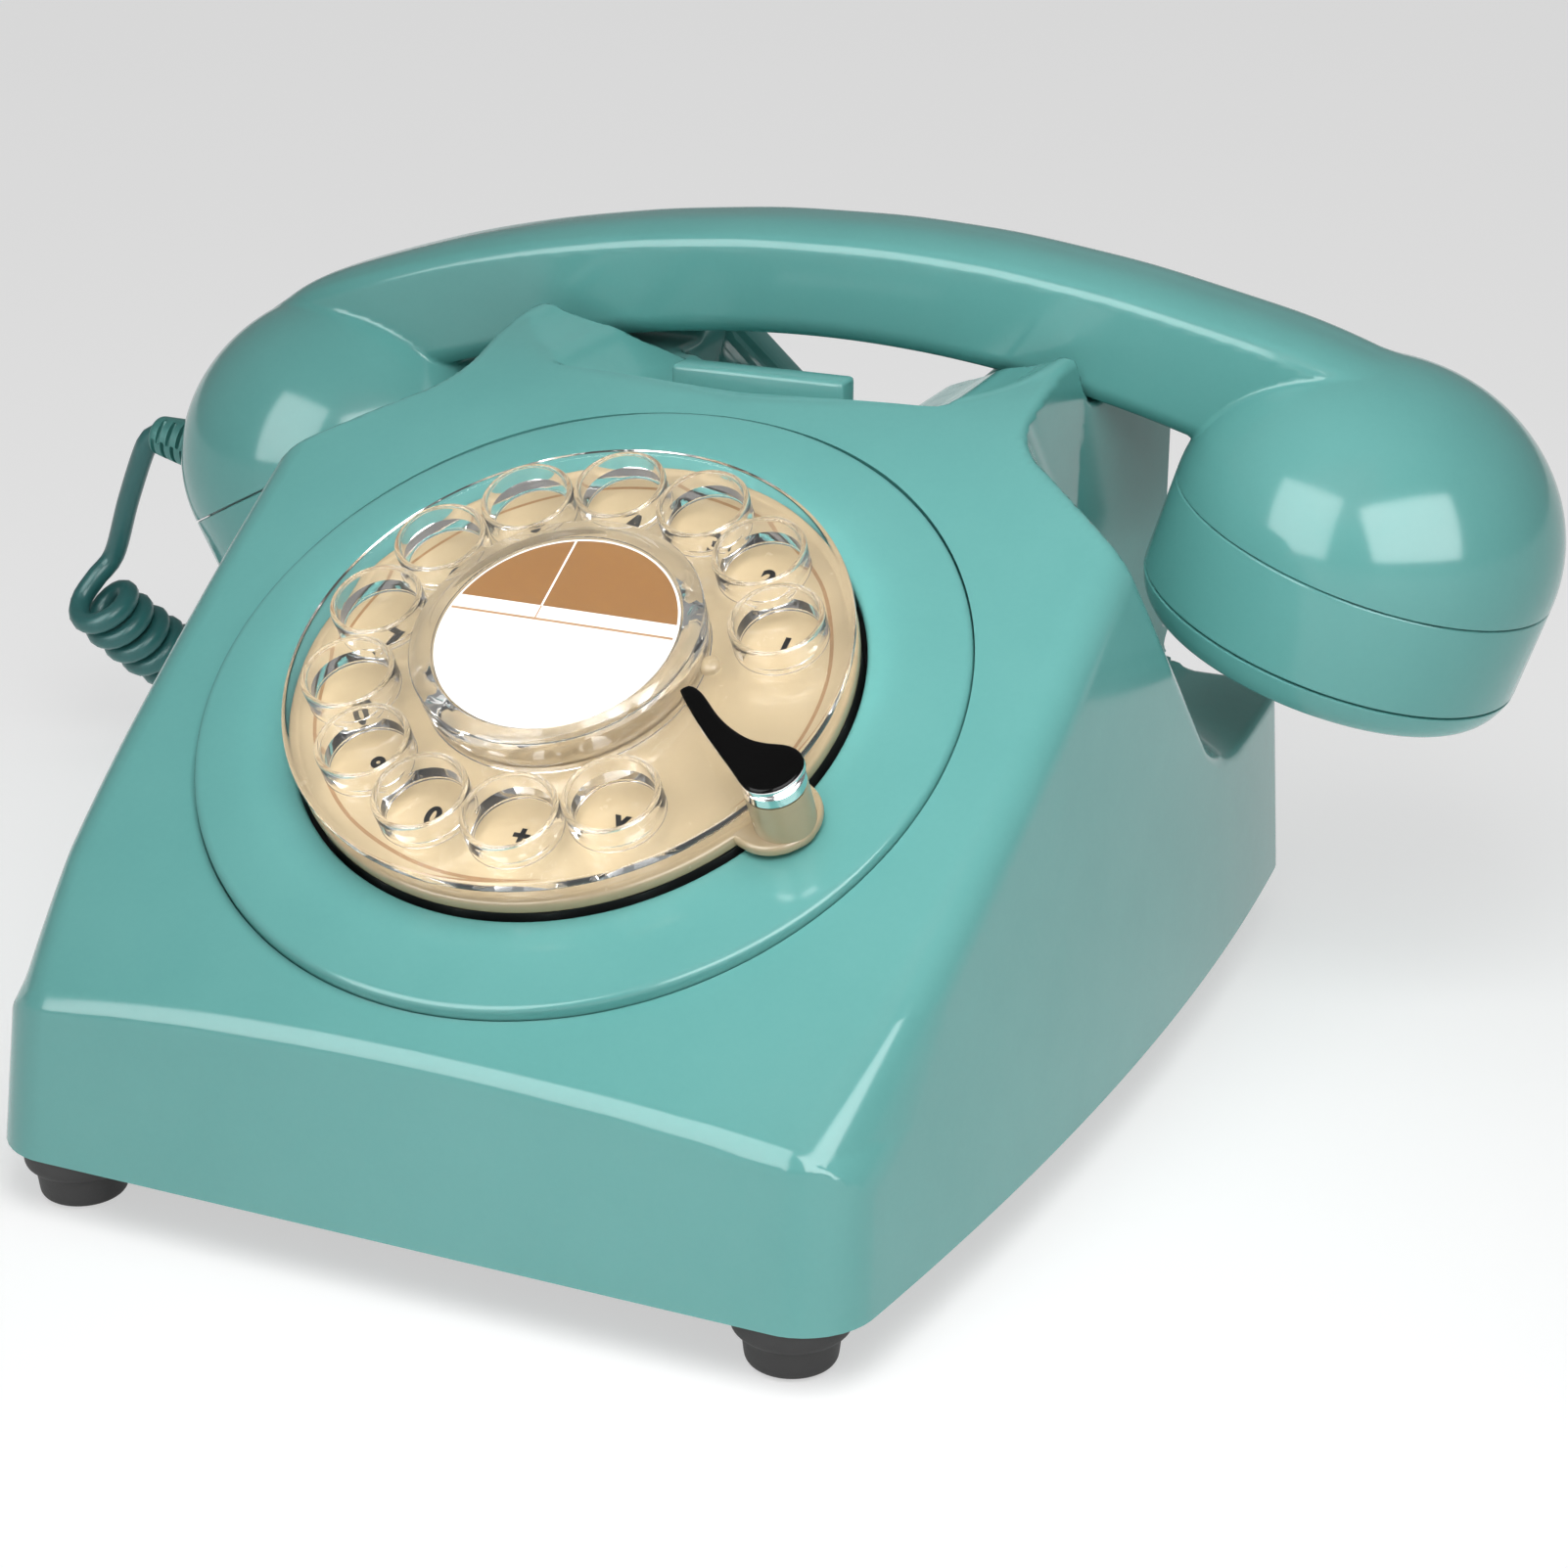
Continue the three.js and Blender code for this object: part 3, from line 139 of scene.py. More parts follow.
class Finish:  # one material, its Principled shader and short ways to add nodes
    def __init__(self, name, **values):
        self.material = bpy.data.materials.new(name)
        self.material.use_nodes = True
        self.tree = self.material.node_tree
        self.shader = self.tree.nodes["Principled BSDF"]
        self.plug(self.shader, values)

    def plug(self, node, values):
        for name, value in values.items():
            slot = node.inputs[name]
            if isinstance(value, Wire):
                self.tree.links.new(value.socket, slot)
            elif slot.type == "RGBA" and len(value) == 3:
                slot.default_value = (*value, 1)
            else:
                slot.default_value = value

    def node(self, kind, settings=None, out=0, **values):
        node = self.tree.nodes.new("ShaderNode" + kind)
        for name, value in (settings or {}).items():
            setattr(node, name, value)
        self.plug(node, {name.replace("_", " "): value for name, value in values.items()})
        return Wire(self.tree, node.outputs[out])

    def place(self, scale=1.0, turn=(0, 0, 0), shift=(0, 0, 0)):
        spot = self.node("TexCoord", out=3)
        scales = (scale,) * 3 if isinstance(scale, (int, float)) else scale
        return self.node("Mapping", Vector=spot, Scale=scales, Rotation=turn, Location=shift)

    def parts(self, wire):
        node = self.tree.nodes.new("ShaderNodeSeparateXYZ")
        self.tree.links.new(wire.socket, node.inputs[0])
        return [Wire(self.tree, output) for output in node.outputs]

    def noise(self, size, detail=3.0, rough=0.5, turn=(0, 0, 0), stretch=(1, 1, 1)):
        scale = tuple(s / (size * mm) for s in stretch)
        return self.node("TexNoise", Vector=self.place(scale, turn), Scale=1.0, Detail=detail, Roughness=rough)

    def blend(self, factor, first, second):
        node = self.tree.nodes.new("ShaderNodeMix")
        node.data_type = "RGBA"
        for slot, value in ((node.inputs[0], factor), (node.inputs[6], first), (node.inputs[7], second)):
            if isinstance(value, Wire):
                self.tree.links.new(value.socket, slot)
            elif slot.type == "RGBA":
                slot.default_value = (*value, 1)
            else:
                slot.default_value = value
        return Wire(self.tree, node.outputs[2])

    def ramp(self, wire, low, high):
        return self.node("MapRange", {"clamp": True}, Value=wire, From_Min=low, From_Max=high)

    def edges(self, low=0.52, high=0.62):  # one along raised edges, nought on flats and in hollows
        return self.ramp(self.node("NewGeometry", out=7), low, high)

    def bump(self, height, distance, strength=1.0):
        normal = self.node("Bump", Height=height, Distance=distance * mm, Strength=strength)
        self.plug(self.shader, {"Normal": normal})


plasticFinish = {"gloss": 0.15, "coat": 0.06, "ripple": 0.016, "dust": 0.05}


def plastic(name, base, pale, rough, coat=0.0, grain=0.016):
    # moulded plastic: faint flow marks in the colour, paler along raised edges, fine uneven gloss and a soft skin
    # ripple
    made = Finish(name, **{"Coat Roughness": 0.05, "Specular IOR Level": 0.38})
    flow = made.noise(26, 3, 0.55)
    speck = made.noise(1.1, 2, 0.6)
    dust = made.ramp(made.noise(5, 5, 0.65), 0.52, 0.8)
    raisedEdge = made.edges()
    made.plug(made.shader, {
        # raised edges are drawn paler in the colour and a little rougher
        "Base Color": made.blend(made.ramp(flow * 0.8 + speck * 0.2 + raisedEdge * 0.25, 0.3, 0.85), base, pale),
        "Roughness": speck * 0.04 + dust * plasticFinish["dust"] + raisedEdge * 0.03 + (rough - 0.03),
        "Coat Weight": coat - dust * 0.1 if coat else 0.0,
    })
    made.bump(made.noise(9, 2, 0.4) * 0.8 + speck * 0.05, grain)
    return made.material


def metal(name, colour, rough, stretch=(1, 1, 14), size=1.2, stain=0.72):
    # brushed or polished metal with fine drawn lines and a little tarnish
    made = Finish(name, Metallic=1.0)
    lines = made.noise(size, 3, 0.6, stretch=stretch)
    marks = made.noise(6, 4, 0.6)
    dark = tuple(c * stain for c in colour)
    made.plug(made.shader, {
        "Base Color": made.blend(made.ramp(marks, 0.35, 0.75), colour, dark),
        "Roughness": lines * 0.12 + marks * 0.06 + (rough - 0.09),
    })
    made.bump(lines, 0.01, 0.5)
    return made.material


def clearPlastic(name, tint, rough=0.015):
    # clear moulding with hairline scratches and a faint painted glow
    made = Finish(name, **{"Base Color": tint, "Transmission Weight": 1.0, "IOR": 1.34,
                           "Emission Color": (1, 1, 1), "Emission Strength": 0.01})  # a faint painted glow that whitens the clear rims
    scratch = made.noise(3.0, 4, 0.6, stretch=(1, 6, 1))
    made.plug(made.shader, {"Roughness": made.ramp(scratch, 0.55, 0.85) * 0.05 + rough})
    made.bump(made.noise(8, 2, 0.4), 0.01, 0.5)
    return made.material


def matte(name, base, pale, rough, size=0.6, grain=0.03, shine=0.5):
    # dull or painted surface with a fine grain
    made = Finish(name, **{"Specular IOR Level": shine})
    fine = made.noise(size, 4, 0.6)
    broad = made.noise(9, 3, 0.5)
    made.plug(made.shader, {
        "Base Color": made.blend(broad * 0.6 + fine * 0.3, base, pale),
        "Roughness": fine * 0.12 + broad * 0.08 + (rough - 0.1),
    })
    made.bump(fine, grain)
    return made.material


tealSkin = plastic("teal_plastic", (0.125, 0.372, 0.35), (0.147, 0.407, 0.384), plasticFinish["gloss"],
                   plasticFinish["coat"], plasticFinish["ripple"])
creamSkin = plastic("cream_plastic", (0.44, 0.345, 0.215), (0.485, 0.385, 0.24), 0.26, 0.15)
cordSkin = plastic("cord_plastic", (0.03, 0.135, 0.135), (0.042, 0.17, 0.165), 0.3)
bootSkin = plastic("boot_plastic", (0.055, 0.22, 0.20), (0.07, 0.26, 0.24), 0.38)
clearSkin = clearPlastic("clear_plastic", (0.985, 0.985, 0.98))
blackSkin = matte("black_plastic", (0.012, 0.012, 0.013), (0.03, 0.03, 0.03), 0.45)
rubberSkin = matte("rubber", (0.008, 0.008, 0.008), (0.018, 0.017, 0.017), 0.6, 0.4, 0.04)
steelSkin = metal("steel", (0.55, 0.56, 0.58), 0.3)
brassSkin = metal("brass", (0.72, 0.52, 0.2), 0.28)
mirrorSkin = metal("polished_metal", (0.88, 0.88, 0.88), 0.12, (1, 1, 1), 5, 0.93)
copperSkin = metal("copper_wire", (0.62, 0.25, 0.12), 0.38, (30, 1, 1), 6)
boardSkin = matte("board", (0.02, 0.09, 0.045), (0.035, 0.14, 0.07), 0.4, 1.5)
paperSkin = matte("paper", (0.86, 0.85, 0.82), (0.9, 0.89, 0.87), 0.6, 0.3, 0.01)
inkSkin = matte("black_ink", (0.006, 0.006, 0.006), (0.012, 0.012, 0.012), 0.4, 0.5, 0.004)
# black for the finger stop's top: a painted dark reflection
darkReflectionSkin = matte("painted_dark_reflection", (0.002, 0.002, 0.002), (0.004, 0.004, 0.004), 0.13, 2.5, 0.004, 0.12)

looks = {
    "teal_plastic": tealSkin, "cream_plastic": creamSkin, "clear_plastic": clearSkin,
    "black_plastic": blackSkin, "rubber": rubberSkin, "steel": steelSkin, "brass": brassSkin,
    "polished_metal": mirrorSkin, "paper": paperSkin, "copper_wire": copperSkin, "board": boardSkin,
    "cord_plastic": cordSkin,
}

for part in frame["record"]["subparts"]:  # the CAD's own pieces, most of them inside the case
    thing = nodes[part["node"]]
    thing.data.materials.clear()
    thing.data.materials.append(looks[part["material_slot"]])
say("materials")


# mesh helpers, all in millimetres until piece()
def piece(name, mesh, body, look, replaced=(), angle=35, to=None):
    # one finished object: into metres, smooth by angle, dressed, and riding on its body
    mesh.transform(toRow @ to if to else toRow)
    if not mesh.has_custom_normals:
        mesh.polygons.foreach_set("use_smooth", [True] * len(mesh.polygons))
        mesh.set_sharp_from_angle(angle=math.radians(angle))
    thing = bpy.data.objects.new(name, mesh)
    scene.collection.objects.link(thing)
    for skin in look if isinstance(look, list) else [look]:
        mesh.materials.append(skin)
    if body:
        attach(thing, body)
    if replaced:
        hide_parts(*replaced)
    return thing


def meshOf(made, name):
    bmesh.ops.remove_doubles(made, verts=made.verts, dist=0.0005)
    bmesh.ops.recalc_face_normals(made, faces=made.faces)
    data = bpy.data.meshes.new(name)
    made.to_mesh(data)
    made.free()
    return data


def soften(points, steps=4):
    # corners that carry a third value are rounded by about that much
    out = []
    for index, point in enumerate(points):
        if len(point) < 3 or not point[2]:
            out.append(Vector(point[:2]))
            continue
        here = Vector(point[:2])
        before, after = Vector(points[index - 1][:2]), Vector(points[(index + 1) % len(points)][:2])
        a = here + (before - here).normalized() * min(point[2], (before - here).length * 0.48)
        b = here + (after - here).normalized() * min(point[2], (after - here).length * 0.48)
        for step in range(steps + 1):
            t = step / steps
            out.append(a * (1 - t) ** 2 + here * 2 * t * (1 - t) + b * t * t)
    return out


def spin(profile, steps):
    # a closed profile of (radius, height) turned round the Z axis
    made = bmesh.new()
    line = [made.verts.new((p.x, 0, p.y)) for p in soften(profile)]
    edges = [made.edges.new(pair) for pair in zip(line, line[1:] + line[:1])]
    bmesh.ops.spin(made, geom=line + edges, cent=(0, 0, 0), axis=(0, 0, 1), angle=2 * math.pi, steps=steps)
    bmesh.ops.remove_doubles(made, verts=made.verts, dist=0.0005)
    flat = [face for face in made.faces if face.calc_area() < 1e-7]
    bmesh.ops.delete(made, geom=flat, context="FACES")
    return made


def slab(outline, low, high, edge=0.0, segments=3):
    # a closed outline drawn up from low to high, with its rims rounded
    made = bmesh.new()
    face = made.faces.new([made.verts.new((x, y, low)) for x, y in outline])
    rise = bmesh.ops.extrude_face_region(made, geom=[face])
    upper = [v for v in rise["geom"] if isinstance(v, bmesh.types.BMVert)]
    bmesh.ops.translate(made, vec=(0, 0, high - low), verts=upper)
    bmesh.ops.recalc_face_normals(made, faces=made.faces)
    if edge:
        rims = [e for e in made.edges if abs(e.verts[0].co.z - e.verts[1].co.z) < 1e-6]
        bmesh.ops.bevel(made, geom=rims, offset=edge, affect="EDGES", segments=segments, profile=0.5,
                        material=-1, clamp_overlap=True)
    return made


def block(low, high, edge=0.0, segments=2):
    made = bmesh.new()
    bmesh.ops.create_cube(made, size=1)
    size = [b - a for a, b in zip(low, high)]
    bmesh.ops.scale(made, vec=size, verts=made.verts)
    bmesh.ops.translate(made, vec=[(a + b) / 2 for a, b in zip(low, high)], verts=made.verts)
    if edge:
        bmesh.ops.bevel(made, geom=list(made.edges), offset=edge, affect="EDGES", segments=segments,
                        profile=0.5, material=-1, clamp_overlap=True)
    return made


def rod(radius, low, high, x=0, y=0, sides=48):
    made = bmesh.new()
    bmesh.ops.create_cone(made, cap_ends=True, segments=sides, radius1=radius, radius2=radius, depth=high - low)
    bmesh.ops.translate(made, vec=(x, y, (low + high) / 2), verts=made.verts)
    return made


def gather(*parts):
    # several bodies in one mesh, each kept whole
    made = bmesh.new()
    for part in parts:
        data = meshOf(part, "part")
        made.from_mesh(data)
        bpy.data.meshes.remove(data)
    return made


def moved(made, place):
    bmesh.ops.transform(made, matrix=place, verts=made.verts)
    return made


def settled(thing):
    # the mesh that a working object ends up with; the object itself goes
    scene.collection.objects.link(thing)
    result = bpy.data.meshes.new_from_object(thing.evaluated_get(bpy.context.evaluated_depsgraph_get()))
    bpy.data.objects.remove(thing)
    return result


def modified(data, kind, **settings):
    # the mesh after one modifier
    thing = bpy.data.objects.new("work", data)
    tool = thing.modifiers.new("work", kind)
    for name, value in settings.items():
        setattr(tool, name, value)
    return settled(thing)


def cutWith(data, tool, operation="DIFFERENCE"):
    other = bpy.data.objects.new("tool", meshOf(tool, "tool"))
    scene.collection.objects.link(other)
    other.hide_render = True
    result = modified(data, "BOOLEAN", operation=operation, object=other, solver="EXACT",
                      use_self=operation == "UNION")
    bpy.data.objects.remove(other)
    return result


def smoothPath(points, step):
    # evenly spaced points on a smooth line through the given ones
    p = [Vector(q) for q in points]
    p = [p[0] * 2 - p[1], *p, p[-1] * 2 - p[-2]]
    fine = []
    for a, b, c, d in zip(p, p[1:], p[2:], p[3:]):
        for k in range(40):
            t = k / 40
            fine.append(0.5 * (2 * b + (c - a) * t + (2 * a - 5 * b + 4 * c - d) * t * t
                               + (3 * b - a - 3 * c + d) * t ** 3))
    fine.append(p[-2])
    far = np.concatenate([[0], np.cumsum([(b - a).length for a, b in zip(fine, fine[1:])])])
    count = max(2, round(far[-1] / step))
    at = np.linspace(0, far[-1], count + 1)
    table = np.array([list(q) for q in fine])
    return [Vector([np.interp(s, far, table[:, axis]) for axis in range(3)]) for s in at]


# surfaces given as a distance, in millimetres, negative inside
def roundMax(a, b, radius):
    past = np.hypot(np.maximum(a + radius, 0), np.maximum(b + radius, 0))
    return np.minimum(-radius, np.maximum(a, b)) + past


def carve(body, tool, rim):
    return roundMax(body, -tool, rim)


def softTable(places, levels, blur, step=0.25):
    # a smoothed curve through given levels, as a function of place
    xs = np.arange(places[0] - 4 * blur, places[-1] + 4 * blur, step)
    ys = np.interp(xs, places, levels)
    first = (levels[1] - levels[0]) / (places[1] - places[0])
    last = (levels[-1] - levels[-2]) / (places[-1] - places[-2])
    ys = np.where(xs < places[0], levels[0] + (xs - places[0]) * first, ys)
    ys = np.where(xs > places[-1], levels[-1] + (xs - places[-1]) * last, ys)
    reach = int(3 * blur / step)
    kernel = np.exp(-0.5 * (np.arange(-reach, reach + 1) * step / blur) ** 2)
    ys = np.convolve(np.pad(ys, reach, mode="reflect", reflect_type="odd"), kernel / kernel.sum(), "valid")
    return lambda x: np.interp(x, xs, ys)


def slopeOf(distance, points, reach=0.04):
    out = np.empty_like(points)
    for axis in range(3):
        shift = np.zeros(3)
        shift[axis] = reach
        out[:, axis] = (distance(points + shift) - distance(points - shift)) / (2 * reach)
    return out


def placesOf(data):
    flat = np.empty(len(data.vertices) * 3)
    data.vertices.foreach_get("co", flat)
    return flat.reshape(-1, 3)


def settle(data, distance, rounds=7):
    # moves every vertex onto the surface, evening their spacing on the way
    co = placesOf(data)
    ends = np.empty(len(data.edges) * 2, int)
    data.edges.foreach_get("vertices", ends)
    a, b = ends.reshape(-1, 2).T
    degree = np.bincount(ends, minlength=len(co))[:, None]
    for turn in range(rounds):
        if turn < rounds - 2:
            total = np.stack([np.bincount(a, co[b, k], len(co)) + np.bincount(b, co[a, k], len(co))
                              for k in range(3)], 1)
            co = co + 0.5 * (total / degree - co)
        for _ in range(2):
            slope = slopeOf(distance, co)
            step = distance(co) / np.maximum((slope ** 2).sum(1), 0.2)
            co = co - np.clip(step, -1.5, 1.5)[:, None] * slope
    data.vertices.foreach_set("co", co.ravel())
    data.update()
    return data


def skinOf(node, distance, grain, innerDepth=1.3):
    # the node's outer faces closed into one body, remeshed evenly and settled on the surface
    made = bmesh.new()
    made.from_mesh(nodes[node].data)
    bmesh.ops.transform(made, matrix=toRow.inverted(), verts=made.verts)
    bmesh.ops.remove_doubles(made, verts=made.verts, dist=0.002)
    made.verts.ensure_lookup_table()
    made.verts.index_update()
    far = distance(np.array([list(v.co) for v in made.verts]))
    inner = [face for face in made.faces if min(far[v.index] for v in face.verts) < -innerDepth]
    bmesh.ops.delete(made, geom=inner, context="FACES")
    bmesh.ops.holes_fill(made, edges=[e for e in made.edges if e.is_boundary], sides=0)
    bmesh.ops.triangulate(made, faces=[face for face in made.faces if len(face.verts) > 4])
    bmesh.ops.recalc_face_normals(made, faces=made.faces)
    data = bpy.data.meshes.new(node)
    made.to_mesh(data)
    made.free()
    return settle(modified(data, "REMESH", mode="VOXEL", voxel_size=grain), distance)


def shadeBy(data, distance, near=0.06):
    # vertices on the surface take its own normals; the rest stay flat
    co = placesOf(data)
    slope = slopeOf(distance, co)
    slope /= np.linalg.norm(slope, axis=1)[:, None]
    on = np.abs(distance(co)) < near
    corner = np.empty(len(data.loops), int)
    data.loops.foreach_get("vertex_index", corner)
    start = np.empty(len(data.polygons), int)
    data.polygons.foreach_get("loop_start", start)
    total = np.empty(len(data.polygons), int)
    data.polygons.foreach_get("loop_total", total)
    flat = np.empty(len(data.polygons) * 3)
    data.polygons.foreach_get("normal", flat)
    whole = np.repeat(np.minimum.reduceat(on[corner].astype(int), start).astype(bool), total)
    normal = np.where(whole[:, None], slope[corner], np.repeat(flat.reshape(-1, 3), total, 0))
    data.polygons.foreach_set("use_smooth", [True] * len(data.polygons))
    data.normals_split_custom_set(normal.tolist())


# handset cord: a straight lead, a curly length on the floor, and a lead into the case
cord = {
    "thick": 4.3, "coilRadius": 5.3, "pitch": 5.0, "perTurn": 18, "sides": 16,
    "coil": [(-160.6, 163.2, 35.5), (-157.5, 169, 28), (-153, 178, 19.4), (-143, 193, 10.4), (-124, 209, 8),
             (-98, 219, 8), (-66, 222, 8), (-40, 220, 10), (-26, 215, 14.4)],
    "toCase": [(-23, 213.9, 15.3), (-18, 209.6, 19), (-16, 201.96, 20), (-16, 191, 20)],
    "fine": 0.4, "spacing": 1.75, "leastApart": 0.9,  # steps along the route, and how near its points may lie
    "join": 50,  # fine steps from the coil's end to the lead into the case
    "firstTurn": (-0.82, 0.5, 0.2),  # where the first turn takes up the lead, out from the coil's middle
}
cups = {  # middle of each cup's seam, its lean, and which end of the handle it is on
    "earpiece": {"x": 96.4, "z": 81.5, "lean": 17, "sign": 1, "holes": (6, 7)},
    "mouthpiece": {"x": -98.9, "z": 74.2, "lean": 28, "sign": -1, "holes": (8, 9)},
}
cupR, domeHigh, bandHigh, lipHigh = 33, 29.8, 16.5, 5.6


def cupPlace(cup):
    return Matrix.Translation((cup["x"], handsetY, cup["z"])) @ Matrix.Rotation(
        math.radians(cup["lean"] * cup["sign"]), 4, "Y")


bootUp, bootTilt = math.radians(22.3), math.radians(8)
bootStart = cupPlace(cups["mouthpiece"]) @ Vector((-cupR * math.cos(bootUp), 0, domeHigh * math.sin(bootUp)))
bootAim = Vector((-math.cos(bootTilt), 0, math.sin(bootTilt)))


def cordRoute():
    along = lambda far: bootStart + bootAim * far
    coil = [Vector(p) for p in cord["coil"]]
    aim = (coil[1] - coil[0]).normalized()
    first = Vector(cord["firstTurn"])
    first = (first - aim * first.dot(aim)).normalized()
    enter = coil[0] + first * cord["coilRadius"]
    down = (first.cross(aim) + aim * 0.15).normalized()
    lead = [along(2), along(5), along(8.5), along(12.2), along(15) + Vector((-0.3, 0, -3)),
            (along(15) * 0.45 + (enter - down * 9) * 0.55), enter - down * 9, enter - down * 3.5]
    middle = smoothPath([*coil, *(Vector(p) for p in cord["toCase"])], cord["fine"])
    last = min(range(len(middle)), key=lambda i: (middle[i] - coil[-2]).length)
    place = np.array([list(p) for p in middle])
    far = np.concatenate([[0], np.cumsum(np.linalg.norm(np.diff(place, axis=0), axis=1))])
    side = first
    sides = []
    for index in range(len(middle)):  # a frame carried along the route without twist
        aim = (middle[min(index + 1, len(middle) - 1)] - middle[max(index - 1, 0)]).normalized()
        side = (side - aim * side.dot(aim)).normalized()
        sides.append((side.copy(), aim.cross(side)))
    length = far[last]
    turns = round(length / cord["pitch"])
    path = smoothPath(lead + [enter], 1.9)[:-1]
    ease = lambda t: t * t * (3 - 2 * t)
    for step in range(turns * cord["perTurn"] + cord["perTurn"] // 3):  # ends low, heading for the case
        t = step / (turns * cord["perTurn"])
        at = length * t
        i = min(int(np.searchsorted(far, at)), len(middle) - 1)
        grow = 0.5 + 0.5 * ease(min(1, max(0, 1 - t) * turns / 1.5))
        a = -2 * math.pi * t * turns
        point = Vector([np.interp(at, far, place[:, axis]) for axis in range(3)])
        path.append(point + (sides[i][0] * math.cos(a) + sides[i][1] * math.sin(a)) * cord["coilRadius"] * grow)
    after = last + cord["join"]
    onward = middle[after]
    for ahead, toward in ((1.6, 0.8), (1.4, 1.8)):  # leaves the last turn in a soft bend
        end, before = path[-1], path[-2]
        path.append(end + (end - before).normalized() * ahead + (onward - end).normalized() * toward)
    path.append(path[-1] * 0.6 + onward * 0.4)
    path += [middle[i] for i in range(after, len(middle) - 3, 8)]
    path.append(middle[-1])
    kept = [path[0]]
    for point in path[1:-1]:  # points that nearly coincide would kink the cord
        if (point - kept[-1]).length > cord["leastApart"]:
            kept.append(point)
    return smoothPath(kept + [path[-1]], cord["spacing"])


def makeCord():
    path = cordRoute()
    line = bpy.data.curves.new("cord", "CURVE")
    line.dimensions, line.bevel_depth, line.bevel_resolution = "3D", cord["thick"] / 2, cord["sides"] // 4
    line.use_fill_caps = True
    run = line.splines.new("POLY")
    run.points.add(len(path) - 1)
    for point, spot in zip(run.points, path):
        point.co = (*spot, 1)
    data = settled(bpy.data.objects.new("work", line))
    inRow = [toRow @ p for p in path]
    long = sum((b - a).length for a, b in zip(inRow, inRow[1:]))
    whole = piece("handset_cord", data, None, cordSkin, ["cord_lead_handset", "curly_cord", "cord_lead_case"])
    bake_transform(whole)
    print("cord length", round(long, 3), "points", len(path), "faces", len(data.polygons))


makeCord()
say("cord")


# case: wedge body, cradle, ears, shelves and carrying recess
case = {
    "depth": 195, "bottom": 9.2, "top": 110, "wall": 2.5, "grain": 1.25, "innerGrain": 3.2,
    "frontHalf": 69.3, "flare": 0.1786, "belly": 0.000653, "draft": 0.066, "frontLean": 0.16, "rearLean": 0.04,
    "frontTop": 37.3, "crown": 4.1, "crownEnd": 62, "slope": 30.6, "rollY": 105, "rollRate": 0.00641,
    "nose": 1.6, "corner": (9.2, 5.7), "cornerFrom": 33.2, "cornerOver": 14, "rear": 9,
    "shelf": 42.6, "shelfRun": (0.778, 0.628), "shelfStart": 75, "shelfTop": 104, "shelfFall": (1.586, 1.875),
    "cheek": 50, "cheekFrom": 152, "cheekFlare": 0.16, "cradleFront": 103,
    "cradle": ([0, 12, 22, 34, 40.5, 45, 47.4, 50], [104.4, 104.9, 105.4, 106, 107.2, 108.6, 110, 113]),
    "pocket": ([0, 19.5, 25, 33.5, 41.5, 44], [95, 95, 101.3, 104.6, 110, 124]),
    "well": (29, 3, 84), "grip": (36, 170, 73, 13),
    "slot": ((-16.3, 129.3, 80), (16.3, 136.3, 100)), "socket": ((28, 180, 18), (45, 205, 31)),
    "gland": (-16, 191, 20), "glandRadius": 4.4,
}
cradleSlopes = {  # flat cuts: lean in Y and Z, a point on each (Y off the handset's middle), the lean's length
    "earFront": (-9.6, -7, -15.2, 110, 11.88), "earRear": (9.6, -8.9, 7.8, 100.4, 13.09),
    "pocketFront": (-8, -4, -38.7, 103, 8.944), "pocketRear": (9, -8, 12.3, 95, 12.04),
}
plateau = {"outer": 60.8, "inner": 44.75, "edge": 1.3, "lip": 0.9, "gap": 0.15, "flange": 63, "sides": 192}
faceRise = math.tan(math.radians(case["slope"]))
noseY = case["frontLean"] * (case["frontTop"] - case["bottom"])
rollZ = case["frontTop"] + (case["rollY"] - noseY) * faceRise
cradleLine = softTable(*case["cradle"], 1.1)
pocketLine = softTable(*case["pocket"], 0.9)
slopeStart = handsetY - 76.7


def slopeAt(name, y, z):
    leanY, leanZ, offY, offZ, length = cradleSlopes[name]
    return (leanY * (y - handsetY - offY) + leanZ * (z - offZ)) / length


